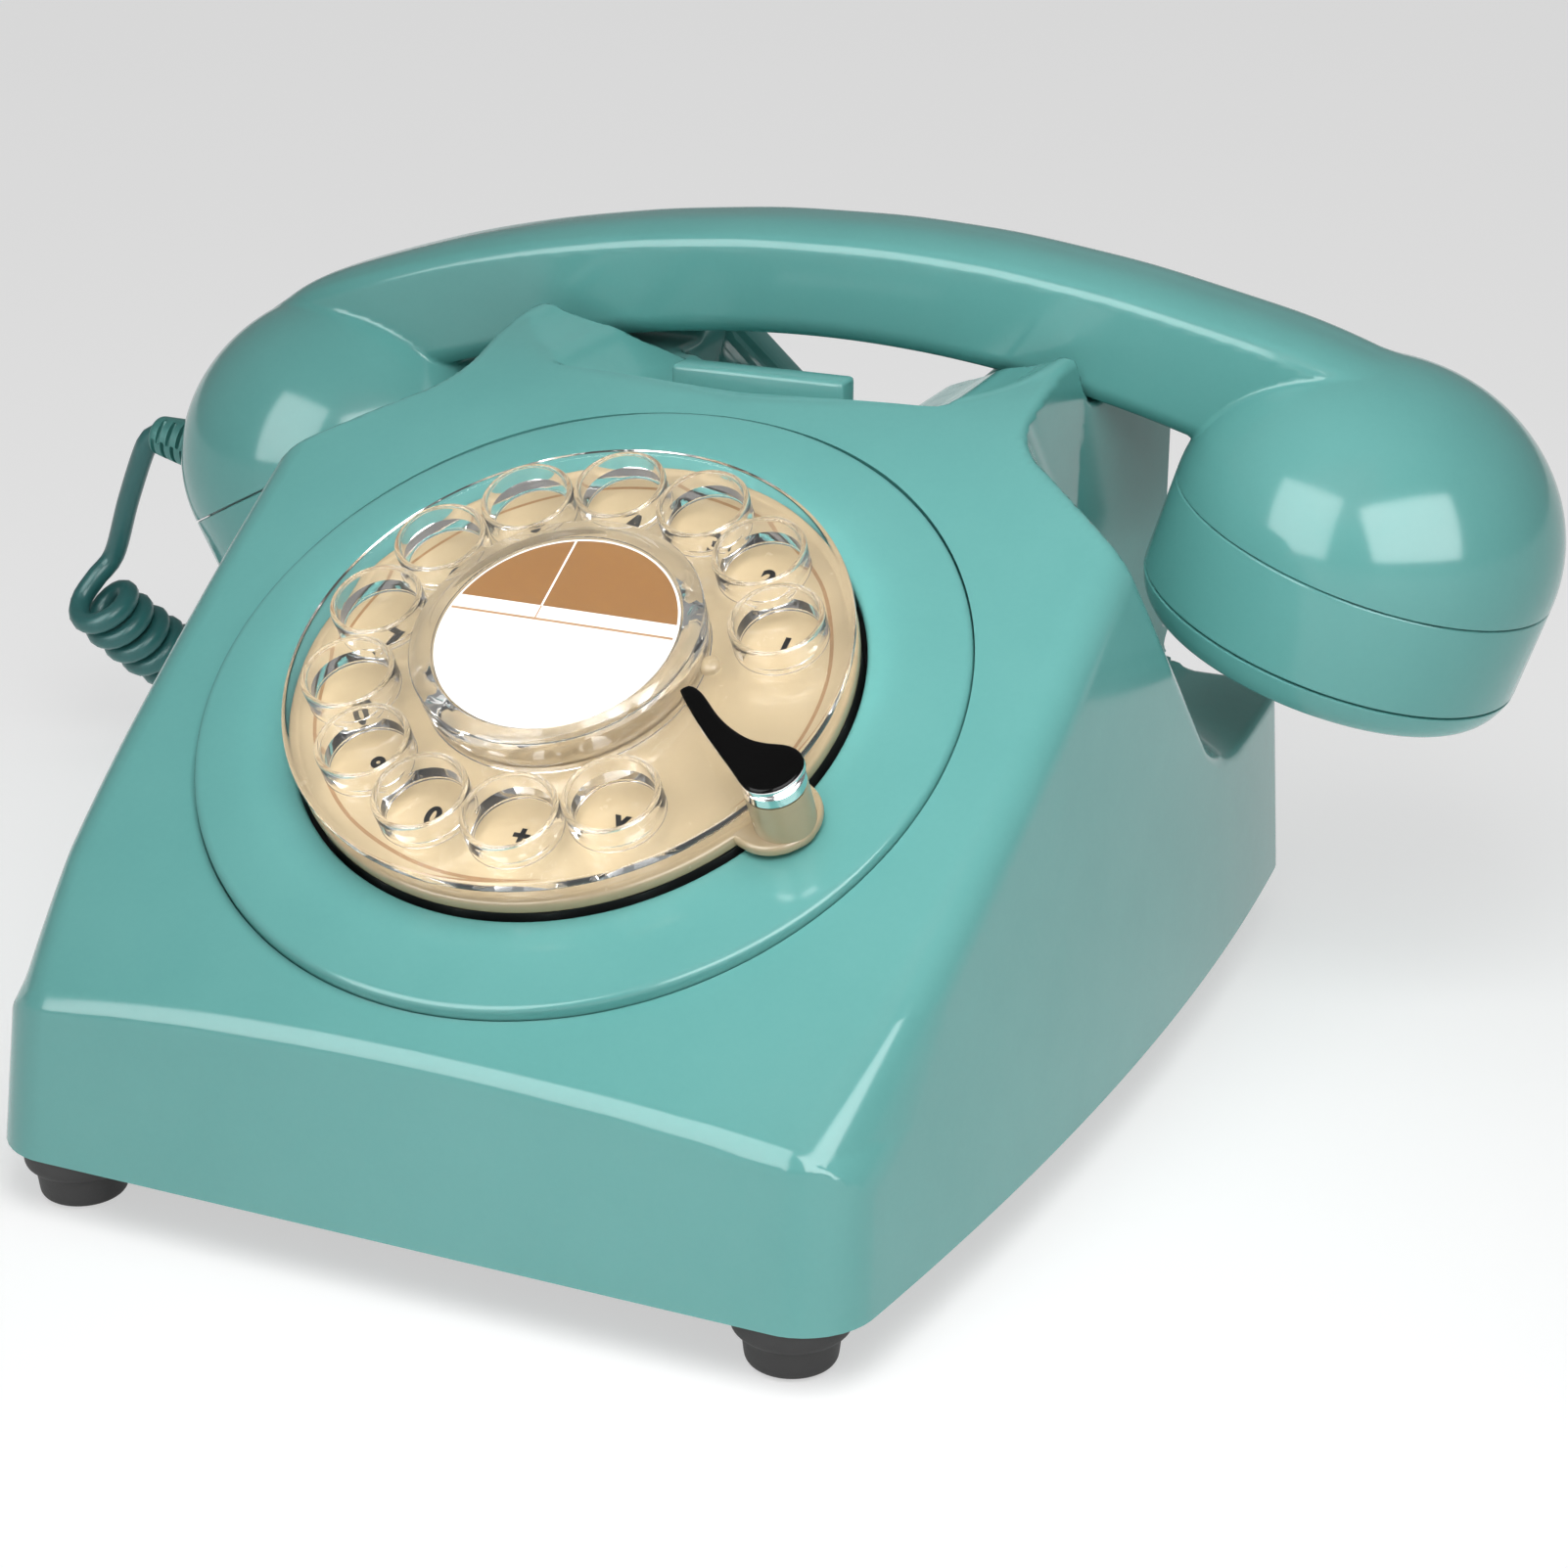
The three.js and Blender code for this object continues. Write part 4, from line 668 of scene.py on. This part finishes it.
def caseDistance(points):
    x, y, z = np.abs(points[:, 0]), points[:, 1], points[:, 2]
    up = z - case["bottom"]
    half = case["frontHalf"] + case["flare"] * y - case["belly"] * y * y - case["draft"] * up
    side = (x - half) / np.sqrt(1 + (case["flare"] - 2 * case["belly"] * y) ** 2 + case["draft"] ** 2)
    front = (case["frontLean"] * up - y) / math.hypot(1, case["frontLean"])
    back = (y - case["depth"] + case["rearLean"] * up) / math.hypot(1, case["rearLean"])
    past = np.clip(y - case["rollY"], 0, faceRise / (2 * case["rollRate"]))
    level = np.where(y < case["rollY"], case["frontTop"] + (y - noseY) * faceRise,
                     rollZ + faceRise * past - case["rollRate"] * past ** 2)
    fade = np.clip((case["crownEnd"] - z) / (case["crownEnd"] - case["frontTop"] + case["crown"]), 0, 1)
    drop = case["crown"] * (x / case["frontHalf"]) ** 2 * fade ** 2
    face = (z + drop - level) / np.sqrt(1 + (faceRise - 2 * case["rollRate"] * past) ** 2)
    body = roundMax(front, face, case["nose"])
    body = roundMax(body, z - case["top"], 0.4)
    low, high = case["corner"]
    corner = low + (high - low) * np.clip((z - case["cornerFrom"]) / case["cornerOver"], 0, 1)
    body = roundMax(body, roundMax(side, back, case["rear"]), corner)  # rounded less higher up
    (across, along), (fall, long) = case["shelfRun"], case["shelfFall"]
    out = across * (x - case["shelfStart"]) + along * (y - slopeStart)  # shelves under the cups
    scoop = roundMax((case["shelfTop"] - z - fall * out) / long, case["shelf"] - z, 6.8)
    cheek = case["cheek"] + case["cheekFlare"] * np.maximum(y - case["cheekFrom"], 0)
    body = carve(body, roundMax(scoop, cheek - x, 4.5), 1.4)
    body = carve(body, roundMax((cradleLine(x) - z) / 1.05, case["cradleFront"] - y, 0.5), 0.6)
    saddle = roundMax(slopeAt("earFront", y, z), slopeAt("earRear", y, z), 0.8)  # between the ears
    saddle = roundMax(saddle, 100.4 - z, 0.8)
    body = carve(body, np.maximum(saddle, x - 60), 0.9)
    near = np.maximum(slopeAt("pocketFront", y, z), handsetY - 38.7 - y)
    rear = np.maximum(slopeAt("pocketRear", y, z), y - handsetY - 20.3)
    pocket = roundMax((pocketLine(x) - z) / 1.25, roundMax(near, rear, 1.2), 1.2)
    body = carve(body, pocket, 0.7)
    wide, before, low = case["well"]  # open way down into the recess
    body = carve(body, roundMax(roundMax(x - wide, handsetY - before - y, 4), low - z, 2), 1.0)
    wide, start, middle, tall = case["grip"]  # carrying recess
    body = carve(body, roundMax(roundMax(x - wide, start - y, 3), np.abs(z - middle) - tall, 3), 1.2)
    return np.maximum(body, -4 - up)


def makeCase():
    blank = skinOf("case_shell", caseDistance, case["grain"])
    inner = lambda points: caseDistance(points) + case["wall"]
    hollow = modified(blank.copy(), "REMESH", mode="VOXEL", voxel_size=case["innerGrain"])
    settle(hollow, inner, 9)
    under = bmesh.new()
    under.from_mesh(hollow)
    for vert in under.verts:  # the hollow runs out through the bottom
        if vert.co.z < case["bottom"]:
            vert.co.z -= 6
    data = cutWith(blank, under)
    dial = rod(plateau["outer"] + plateau["gap"], -14, 12, sides=plateau["sides"])
    moved(dial, dialPlace)
    gland = rod(case["glandRadius"], -14, 14, sides=40)
    moved(gland, Matrix.Translation(case["gland"]) @ Matrix.Rotation(math.pi / 2, 4, "X"))
    data = cutWith(data, gather(dial, block(*case["slot"], 0.8), block(*case["socket"], 1.0), gland))
    whole = bmesh.new()
    whole.from_mesh(data)
    floorCut = bmesh.ops.bisect_plane(whole, geom=[*whole.verts, *whole.edges, *whole.faces],
                                      plane_co=(0, 0, case["bottom"]), plane_no=(0, 0, 1), clear_inner=True)
    rim = [e for e in floorCut["geom_cut"] if isinstance(e, bmesh.types.BMEdge)]
    bmesh.ops.triangle_fill(whole, edges=rim, use_beauty=True, normal=(0, 0, -1))
    whole.to_mesh(data)
    whole.free()
    shadeBy(data, caseDistance)
    print("case faces", len(data.polygons))
    piece("case_body", data, "case", tealSkin, ["case_shell"])


makeCase()
say("case")


def makePlateau():
    inner, outer, flange = plateau["inner"], plateau["outer"], plateau["flange"]
    made = spin([(inner, -6.5), (inner, 0, plateau["lip"]), (outer - 0.1, 0, plateau["edge"]),
                 (outer, -5.4), (flange, -5.4), (flange, -6.5)], plateau["sides"])
    piece("dial_plateau", meshOf(made, "dial_plateau"), "case", tealSkin, to=dialPlace)


makePlateau()
say("plateau")


# dial: plate, numbers, stop, finger wheel and label
dialPlate = {"radius": 44.1, "low": 0.5, "top": 2.7, "ring": 40.0, "ringWide": 0.55,
             "post": (42.6, -19.9), "postR": 4.7, "lobe": (40.6, -19.0), "lobeR": 7}
wheel = {"radius": 44.4, "low": 5.4, "top": 7.4, "rim": 10.6, "holeRing": 33, "holes": 12, "first": 17.8,
         "step": 26.25, "hole": 6.4, "collar": 7.4, "hub": 22.4, "label": 18.9}
dialSides = 144


def around(degrees, radius):
    return radius * math.cos(math.radians(degrees)), radius * math.sin(math.radians(degrees))


def dialFinish(made):
    # millimetres across and up the dial, for its printed parts
    turn = Matrix.Rotation(-dialTilt, 4, "X")
    middle = turn @ Vector(joints["dial_turn"]["pos_m"]) / mm
    return made.parts(made.place(1 / mm, (-dialTilt, 0, 0), tuple(-middle)))


def makeDialPlate():
    low, top = dialPlate["low"], dialPlate["top"]
    disc = spin([(3.8, low), (3.8, top, 0.2), (42.0, top), (42.45, top - 0.18), (42.9, top, 0.25),
                 (dialPlate["radius"], top, 1.0), (dialPlate["radius"], low, 0.5)], dialSides)
    px, py = dialPlate["lobe"]
    away = math.degrees(math.atan2(py, px))
    arc = [around(away - 90 + 9 * i, dialPlate["lobeR"]) for i in range(21)]
    outline = [(px + dx, py + dy) for dx, dy in arc]
    inner = Vector((px, py)) * 0.8
    across = Vector(around(away + 90, dialPlate["lobeR"] + 0.2))
    outline += [tuple(inner + across), tuple(inner - across)]
    lobe = slab(outline, low + 0.1, top - 0.15, 0.7, 3)
    post = bpy.data.meshes.new("post")
    tall = rod(dialPlate["postR"], low + 0.3, 10.05, *dialPlate["post"], sides=64)
    tall.to_mesh(post)
    post = cutWith(post, rod(wheel["radius"] + 0.6, wheel["low"] - 0.7, 12, sides=dialSides))
    whole = cutWith(meshOf(disc, "plate"), lobe, "UNION")
    made = bmesh.new()
    made.from_mesh(whole)
    made.from_mesh(post)
    piece("number_plate", meshOf(made, "number_plate"), "case", plateSkin(), ["dial_plate"],
          to=dialPlace, angle=50)


def plateSkin():
    made = Finish("number_plate_plastic", **{"Coat Roughness": 0.06})
    across, up, _ = dialFinish(made)
    radius = (across * across + up * up) ** 0.5
    line = abs(radius - dialPlate["ring"]) < dialPlate["ringWide"] / 2
    flow, speck = made.noise(22, 3, 0.55), made.noise(1.0, 2, 0.6)
    base = made.blend(made.ramp(flow * 0.8 + speck * 0.2, 0.3, 0.8), (0.45, 0.35, 0.212), (0.495, 0.39, 0.238))
    made.plug(made.shader, {
        "Base Color": made.blend(line * (0.75 + speck * 0.3), base, (0.30, 0.17, 0.08)),
        "Roughness": speck * 0.06 + made.ramp(made.noise(5, 4, 0.6), 0.5, 0.8) * 0.07 + 0.2,
        "Coat Weight": 0.15,
    })
    made.bump(made.noise(9, 2, 0.4) * 0.7 + speck * 0.05, 0.014)
    return made.material


figures = {"marks": "1234567890+v", "size": 4.8, "bold": 0.2, "thick": 0.03, "upper": (2, 7),
           "upperShift": (0.8, -1.2), "lowerShift": (-0.7, 1.2)}  # upper ones stand lower, behind their collars


def makeNumbers():
    # a figure under each hole, and two plain marks under the last pair
    parts = []
    for index, figure in enumerate(figures["marks"]):
        x, y = around(wheel["first"] + index * wheel["step"], wheel["holeRing"])
        start, end = figures["upper"]
        aside, rise = figures["upperShift"] if start <= index <= end else figures["lowerShift"]
        data = bpy.data.curves.new("figure", "FONT")
        data.body, data.size = figure, figures["size"]
        data.extrude, data.offset = figures["thick"], figures["bold"]
        data.align_x = data.align_y = "CENTER"
        flat = settled(bpy.data.objects.new("work", data))
        flat.transform(Matrix.Translation((x + aside, y + rise, dialPlate["top"] + 0.045)))
        parts.append(flat)
    made = bmesh.new()
    for flat in parts:
        made.from_mesh(flat)
    piece("dial_figures", meshOf(made, "dial_figures"), "case", inkSkin, to=dialPlace)


def makeWheel():
    inner, outer, low, top = wheel["hub"], wheel["radius"], wheel["low"], wheel["top"]
    disc = meshOf(spin([(inner - 1.2, low, 0.3), (outer - 0.1, low, 0.8), (outer, top, 0.9),
                        (inner - 1.2, top, 0.2)], dialSides), "disc")
    places = [around(wheel["first"] + i * wheel["step"], wheel["holeRing"]) for i in range(wheel["holes"])]
    hole, wide, foot, rim = wheel["hole"], wheel["collar"], low - 0.2, wheel["rim"]
    bores = gather(*(rod((hole + wide) / 2, 4, 9, *p, sides=48) for p in places))
    disc = cutWith(disc, bores)
    tube = [(hole, foot, 0.3), (wide - 0.05, foot, 0.3), (wide, rim, 0.48), (hole + 0.02, rim, 0.48)]
    collars = gather(*(moved(spin(tube, 48), Matrix.Translation((*p, 0))) for p in places))
    disc = cutWith(disc, collars, "UNION")
    seat = wheel["label"] + 0.35
    hub = spin([(inner - 3.0, 6.0), (inner - 1.6, 5.0, 0.4), (inner + 0.1, 5.1, 0.6), (inner + 0.2, 11.0, 1.0),
                (inner - 1.4, 12.3, 0.8), (seat, 12.3, 0.3), (seat, 9.0, 0.3)], dialSides)
    disc = cutWith(disc, hub, "UNION")
    whole = piece("dial_wheel", disc, "dial", clearSkin, ["finger_wheel"], to=dialPlace, angle=40)
    whole.visible_shadow = False  # clear plastic lets the light through


label = {"low": 11.9, "high": 12.15, "margin": 0.35, "fieldUp": 4.4, "ruleUp": 1.7, "ruleHalf": 0.24,
         "divider": 4.35}


def labelSkin():
    # a brown field over a white one, parted by a divider and a thin rule
    made = Finish("label_card")
    across, up, _ = dialFinish(made)
    radius = (across * across + up * up) ** 0.5
    fibre = made.noise(0.25, 4, 0.6)
    inside = radius < wheel["label"] - label["margin"]
    field = inside * (up > label["fieldUp"])
    rule = inside * (abs(up - label["ruleUp"]) < label["ruleHalf"])
    divider = abs(across + label["divider"])
    white = made.blend(fibre * 0.5, (0.90, 0.89, 0.87), (0.95, 0.945, 0.93))
    brown = made.blend(fibre * 0.6 + made.noise(7, 3, 0.5) * 0.4, (0.23, 0.10, 0.018), (0.265, 0.12, 0.025))
    stroke = field * (divider < 0.17)
    low = inside * (divider < 0.13) * (up > label["ruleUp"]) * (up < label["fieldUp"])
    shade = made.blend(field, white, brown)
    shade = made.blend(stroke, shade, (0.93, 0.9, 0.85))
    shade = made.blend(made.ramp(rule + low, 0, 1), shade, (0.36, 0.2, 0.09))
    made.plug(made.shader, {"Base Color": shade, "Roughness": fibre * 0.1 + 0.45})
    made.bump(fibre, 0.006)
    return made.material


def makeLabel():
    edge, hub, low, high = wheel["label"], wheel["hub"], label["low"], label["high"]
    card = spin([(0, low), (edge, low), (edge, high, 0.1), (0, high)], dialSides)
    piece("label_paper", meshOf(card, "label_paper"), "dial", labelSkin(), ["label_card"], to=dialPlace)
    cover = spin([(0, 12.5), (edge - 0.1, 12.5), (edge + 0.1, 12.55), (hub + 0.3, 12.6, 0.3),
                  (hub + 0.35, 12.95, 0.3), (edge + 1.4, 13.4, 0.6), (edge - 0.6, 13.45, 0.6),
                  (0, 13.55)], dialSides)
    window = piece("label_window", meshOf(cover, "label_window"), "dial", clearSkin, ["label_cover"],
                   to=dialPlace, angle=40)
    window.visible_shadow = False
    knob = spin([(0, 6.9), (1.7, 7.2), (1.65, 8.2, 0.7), (0.9, 8.75, 0.5), (0, 8.85)], 32)
    moved(knob, Matrix.Translation((23.4, 1.7, 0)))
    piece("wheel_rivet", meshOf(knob, "wheel_rivet"), "dial", creamSkin, to=dialPlace)


fingerStop = {
    "low": 11.4, "top": 13.6, "edge": 0.75, "band": 10.4,
    "outline": [(24, -8.6), (24.1, -7.6), (25.1, -7), (26.7, -7.6), (28.2, -8.8), (31, -11.4), (33.7, -13.3),
                (37, -14.8), (39.8, -15.2), (43.3, -15), (45.4, -15.7), (46.8, -17.3), (47, -19.8),
                (45.8, -22.4), (44, -23.9), (41.8, -24.4), (39.8, -23.7), (36.6, -20.8), (33.1, -17.7),
                (28.8, -13.7)],
}


def makeStop():
    ring = [Vector((*p, 0)) for p in fingerStop["outline"]]
    line = smoothPath([*ring[-3:], *ring, *ring[:4]], 0.9)
    first = min(range(30), key=lambda i: (line[i] - ring[0]).length)
    last = min(range(len(line) - 30, len(line)), key=lambda i: (line[i] - ring[0]).length)
    low, top, edge = fingerStop["low"], fingerStop["top"], fingerStop["edge"]
    blade = slab([(p.x, p.y) for p in line[first:last]], low, top, edge, 4)
    band = bpy.data.meshes.new("band")
    collar = rod(dialPlate["postR"] + 0.02, fingerStop["band"], low + 0.6, *dialPlate["post"], sides=64)
    collar.to_mesh(band)
    band = cutWith(band, rod(wheel["radius"] + 0.6, 9, 13, sides=dialSides))
    blade.from_mesh(band)
    data = meshOf(blade, "stop_blade")
    for face in data.polygons:  # the flat top is painted black as a painted dark reflection, the rounded edge polished
        face.material_index = int(face.normal.z > 0.45 and face.center.z > top - edge * 0.6)
    piece("stop_blade", data, "case", [mirrorSkin, darkReflectionSkin], ["finger_stop"], to=dialPlace, angle=50)


makeDialPlate()
makeNumbers()
makeWheel()
makeLabel()
makeStop()
say("dial")


# handset: arched handle running into two domed cups
handle = {
    "half": 12.3, "grain": 0.95, "crease": 0.8, "topEdge": 1.7, "lowEdge": 4.0,
    "under": (106.6, 9.9, 66), "thin": 8, "camber": 3, "taper": 0.21, "end": 113,
    "seam": (12, 37),  # the seam's cut reaches this high and this far out from each cup's middle
    "line": [(-113, 100.6, 0.33), (-106, 106, 0.72), (-97, 109.6, 0.93), (-86, 113.2, 1), (-71.6, 117.5, 1),
             (-55.4, 121.1, 1), (-35, 124.4, 1), (-12, 126.6, 1), (12, 127, 1), (32, 125.8, 1), (55, 122.5, 1),
             (84, 116, 1), (96, 112, 0.94), (106, 108.2, 0.7), (114, 103, 0.33)],
}
stations = [row[0] for row in handle["line"]]
topOf = softTable(stations, [row[1] for row in handle["line"]], 5)
shareOf = softTable(stations, [row[2] for row in handle["line"]], 3)


def cupFrame(cup, points):
    place = np.array(cupPlace(cup).inverted())
    return points @ place[:3, :3].T + place[:3, 3]


def domeDistance(cup, points):
    spot = cupFrame(cup, points)
    wide, up = np.hypot(spot[:, 0], spot[:, 1]), spot[:, 2]
    tall = np.maximum(up, 0)
    ratio = np.maximum(np.hypot(wide / cupR, tall / domeHigh), 0.05)
    lean = np.maximum(np.hypot(wide / cupR ** 2, tall / domeHigh ** 2), 1e-4)
    dome = (ratio - 1) * ratio / lean
    return np.maximum(np.where(up > 0, dome, wide - cupR), -6 - up)


def handsetDistance(points):
    x, y, z = points[:, 0], np.abs(points[:, 1] - handsetY), points[:, 2]
    top, half = topOf(x), handle["half"] * np.clip(shareOf(x), 0.2, 1)
    height, sag, reach = handle["under"]
    bottom = np.minimum(height - sag * (x / reach) ** 2, top - handle["thin"])
    over = (z - top + handle["camber"] * np.minimum(y / half, 1.4) ** 3) / 1.05
    shoulder = top - handle["camber"]
    down = (shoulder - z) / (shoulder - bottom)
    beside = (y - half * (1 - handle["taper"] * np.maximum(down, -0.3))) / 1.02
    body = roundMax(roundMax(over, beside, handle["topEdge"]), bottom - z, handle["lowEdge"])
    body = np.maximum(body, np.abs(x) - handle["end"])
    for cup in cups.values():
        body = -roundMax(-body, -domeDistance(cup, points), handle["crease"])
    return body


def makeHandset():
    data = skinOf("handset_body", handsetDistance, handle["grain"])
    made = bmesh.new()
    made.from_mesh(data)
    high, reach = handle["seam"]
    for cup in cups.values():
        place = cupPlace(cup)
        inCup = lambda vert: place.inverted() @ vert.co
        near = [v for v in made.verts if inCup(v).z < high and inCup(v).xy.length < reach]
        chosen = {f for v in near for f in v.link_faces}
        geom = [*{v for f in chosen for v in f.verts}, *{e for f in chosen for e in f.edges}, *chosen]
        seam = bmesh.ops.bisect_plane(made, geom=geom, plane_co=place.translation,
                                      plane_no=place.to_3x3().col[2], clear_inner=True, clear_outer=False)
        rim = [e for e in seam["geom_cut"] if isinstance(e, bmesh.types.BMEdge)]
        bmesh.ops.holes_fill(made, edges=rim, sides=0)
    bmesh.ops.triangulate(made, faces=[f for f in made.faces if len(f.verts) > 4])
    made.to_mesh(data)
    made.free()
    shadeBy(data, handsetDistance, 0.08)
    print("handset faces", len(data.polygons))
    piece("handset_shell", data, "handset", tealSkin, ["handset_body"])


def makeCups():
    for name, cup in cups.items():
        place = cupPlace(cup)
        foot = -bandHigh
        band = spin([(cupR - 5, foot - 0.24), (cupR - 2, foot - 0.24), (cupR - 2, foot + 0.1),
                     (cupR, foot + 0.1, 0.35), (cupR, -0.28, 0.45), (cupR - 2.4, -0.28), (cupR - 2.4, -0.02),
                     (cupR - 4.4, -0.02), (cupR - 4.4, -4), (cupR - 5, -5)], dialSides)  # lips close the seams
        piece(name + "_ring", meshOf(band, name), "handset", tealSkin, [name + "_band"], to=place)
        top, low = foot - 0.25, foot - 0.3 - lipHigh
        profile = [(0, low + 1.2), (20, low + 1.2, 1), (24, low, 2), (29.5, low, 2.5),
                   (cupR - 1.2, low + 2.2, 2), (cupR, top, 0.35), (cupR - 5, top), (cupR - 5, low + 3.4),
                   (0, low + 3.4)]
        lid = meshOf(spin(profile, dialSides), name)
        count, radius = cup["holes"]
        bores = [rod(1.3, low - 2, low + 6, *around(i * 360 / count, radius), sides=20) for i in range(count)]
        lid = cutWith(lid, gather(rod(1.3, low - 2, low + 6, sides=20), *bores))
        piece(name + "_lid", lid, "handset", tealSkin, [name + "_cap"], to=place)


boot = {"long": 12.6, "wide": 5.0, "narrow": 3.7, "slot": 0.95, "slots": 4, "slotStep": 2.45, "rowTurn": 33,
        "rows": ((1, 2.0), (-1, 3.3))}


def makeBoot():
    # tapered, with two staggered rows of slots on each side
    turn = Vector((0, 0, 1)).rotation_difference(bootAim).to_matrix().to_4x4()
    place = Matrix.Translation(bootStart) @ turn
    wide, long = boot["wide"], boot["long"]
    body = spin([(2.15, -4), (3.4, -4), (3.6, 0.2), (wide, 0.3, 0.5), (wide, 2.0, 1),
                 (boot["narrow"] + 0.1, long - 0.7, 0.8), (3.0, long, 0.6), (2.2, long)], 64)
    cuts = []
    for row, start in boot["rows"]:
        for index in range(boot["slots"]):
            z = start + index * boot["slotStep"]
            for side in (1, -1):
                turned = side * math.pi / 2 - math.pi / 2 + row * math.radians(boot["rowTurn"])
                cuts.append(moved(block((-2.5, 2.9, z), (2.5, 9, z + boot["slot"]), 0.25),
                                  Matrix.Rotation(turned, 4, "Z")))
    body = cutWith(meshOf(body, "boot"), gather(*cuts))
    piece("cord_sleeve", body, "handset", bootSkin, ["cord_boot"], to=place, angle=30)


makeHandset()
say("handset")
makeCups()
makeBoot()
say("cups")


# small outside pieces
hookBar = {"half": 15.6, "front": 130.0, "back": 135.6, "low": 93, "top": 106.3, "edge": 0.8,
           "legX": 12, "legLow": 87.4}


def makeHookBar():
    half, front, back, low = hookBar["half"], hookBar["front"], hookBar["back"], hookBar["low"]
    ridge = block((-half, front, low), (half, back, hookBar["top"]), hookBar["edge"], 3)
    legs = [block((x - 1.6, front + 1, hookBar["legLow"]), (x + 1.6, back - 1, low + 0.5), 0.3)
            for x in (-hookBar["legX"], hookBar["legX"])]
    piece("cradle_plunger", meshOf(gather(ridge, *legs), "cradle_plunger"), "hook_bar", tealSkin, ["hook_bar"])


feet = {  # radius, height and rounding, from the sole up the outside to the top of the stem
    "profile": [(0, 0), (5.6, 0, 1.0), (6.6, 0.6, 0.8), (7.1, 4.9, 0.7), (8.4, 5.6, 0.8), (8.7, 6.4, 0.6),
                (8.7, 8.9, 0.3), (2.9, 8.9), (2.9, 12.5), (0, 12.5)],
}


def makeFeet():
    for name in ("front_left", "front_right", "rear_left", "rear_right"):
        low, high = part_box("foot_" + name)
        middle = toRow.inverted() @ ((low + high) / 2)
        made = moved(spin(feet["profile"], 64), Matrix.Translation((middle.x, middle.y, 0)))
        piece("rubber_foot_" + name, meshOf(made, name), "case", rubberSkin, ["foot_" + name], angle=40)


grommet = {
    "place": (-16, 194.96, 20),  # on the case's back
    "profile": [(2.4, -9), (6.4, -9), (6.4, -6.6, 0.3), (4, -6.6, 0.3), (4, 0.4), (5.6, 0.5, 0.5),
                (5.4, 2.0, 0.5), (4.5, 2.4, 0.2), (4.7, 3.9, 0.4), (3.9, 4.2, 0.2), (4.0, 5.5, 0.4),
                (3.3, 5.8, 0.2), (3.4, 7, 0.4), (2.4, 7)],
}


def makeGland():
    place = Matrix.Translation(grommet["place"]) @ Matrix.Rotation(-math.pi / 2, 4, "X")
    made = spin(grommet["profile"], 48)
    piece("cord_grommet", meshOf(made, "cord_grommet"), "case", bootSkin, ["cord_gland"], to=place)


makeHookBar()
makeFeet()
makeGland()
say("small pieces")


# floor and light
studio = {"floor": (0.45, 0.45, 0.45), "floorPale": (0.48, 0.48, 0.48), "reach": 12, "glow": 0.55,
          "world": 0.22}
panels = {  # spot and aim in millimetres from the case's front edge, sizes in metres
    "leftWindow": {"spot": (-400, -900, 600), "aim": (60, 100, 60), "size": (0.88, 1.0),
                   "power": 18, "soft": False},
    "rightWindow": {"spot": (850, -620, 590), "aim": (60, 100, 60), "size": (1.2, 0.85),
                    "power": 26, "soft": False},
    "overhead": {"spot": (50, -150, 1800), "aim": (0, 100, 0), "size": (1.6, 1.6),
                 "power": 4.6, "soft": True},
    "fill": {"spot": (92, -66, 290), "aim": (50, 20, 60), "size": (0.22, 0.22),
             "power": 0.82, "soft": True},
}


def makeStudio():
    floor = bmesh.new()
    bmesh.ops.create_grid(floor, x_segments=1, y_segments=1, size=studio["reach"])
    data = bpy.data.meshes.new("floor")
    floor.to_mesh(data)
    floor.free()
    thing = bpy.data.objects.new("floor", data)
    thing.location = (0, 0, -0.0002)
    scene.collection.objects.link(thing)
    skin = Finish("floor", **{"Specular IOR Level": 0.2, "Roughness": 0.6,
                              "Emission Color": (1, 1, 1), "Emission Strength": studio["glow"]})
    tint = skin.blend(skin.noise(400, 3, 0.5), studio["floor"], studio["floorPale"])
    skin.plug(skin.shader, {"Base Color": tint})
    data.materials.append(skin.material)
    world = bpy.data.worlds.new("studio")
    world.use_nodes = True
    colour, strength = world.node_tree.nodes["Background"].inputs[:2]
    colour.default_value, strength.default_value = (1, 1, 1, 1), studio["world"]
    scene.world = world


def makePanel(name, facts):
    # a flat light: the windows show in the gloss, the soft ones light the colours
    data = bpy.data.lights.new(name, "AREA")
    data.shape, (data.size, data.size_y), data.energy = "RECTANGLE", facts["size"], facts["power"]
    thing = bpy.data.objects.new(name, data)
    spot, aim = local(*facts["spot"]), local(*facts["aim"])
    thing.location = spot
    thing.rotation_euler = (aim - spot).to_track_quat("-Z", "Y").to_euler()
    thing.visible_glossy = thing.visible_transmission = not facts["soft"]
    thing.visible_diffuse, thing.visible_camera = facts["soft"], False
    scene.collection.objects.link(thing)


makeStudio()
for name, facts in panels.items():
    makePanel(name, facts)
say("floor and light")
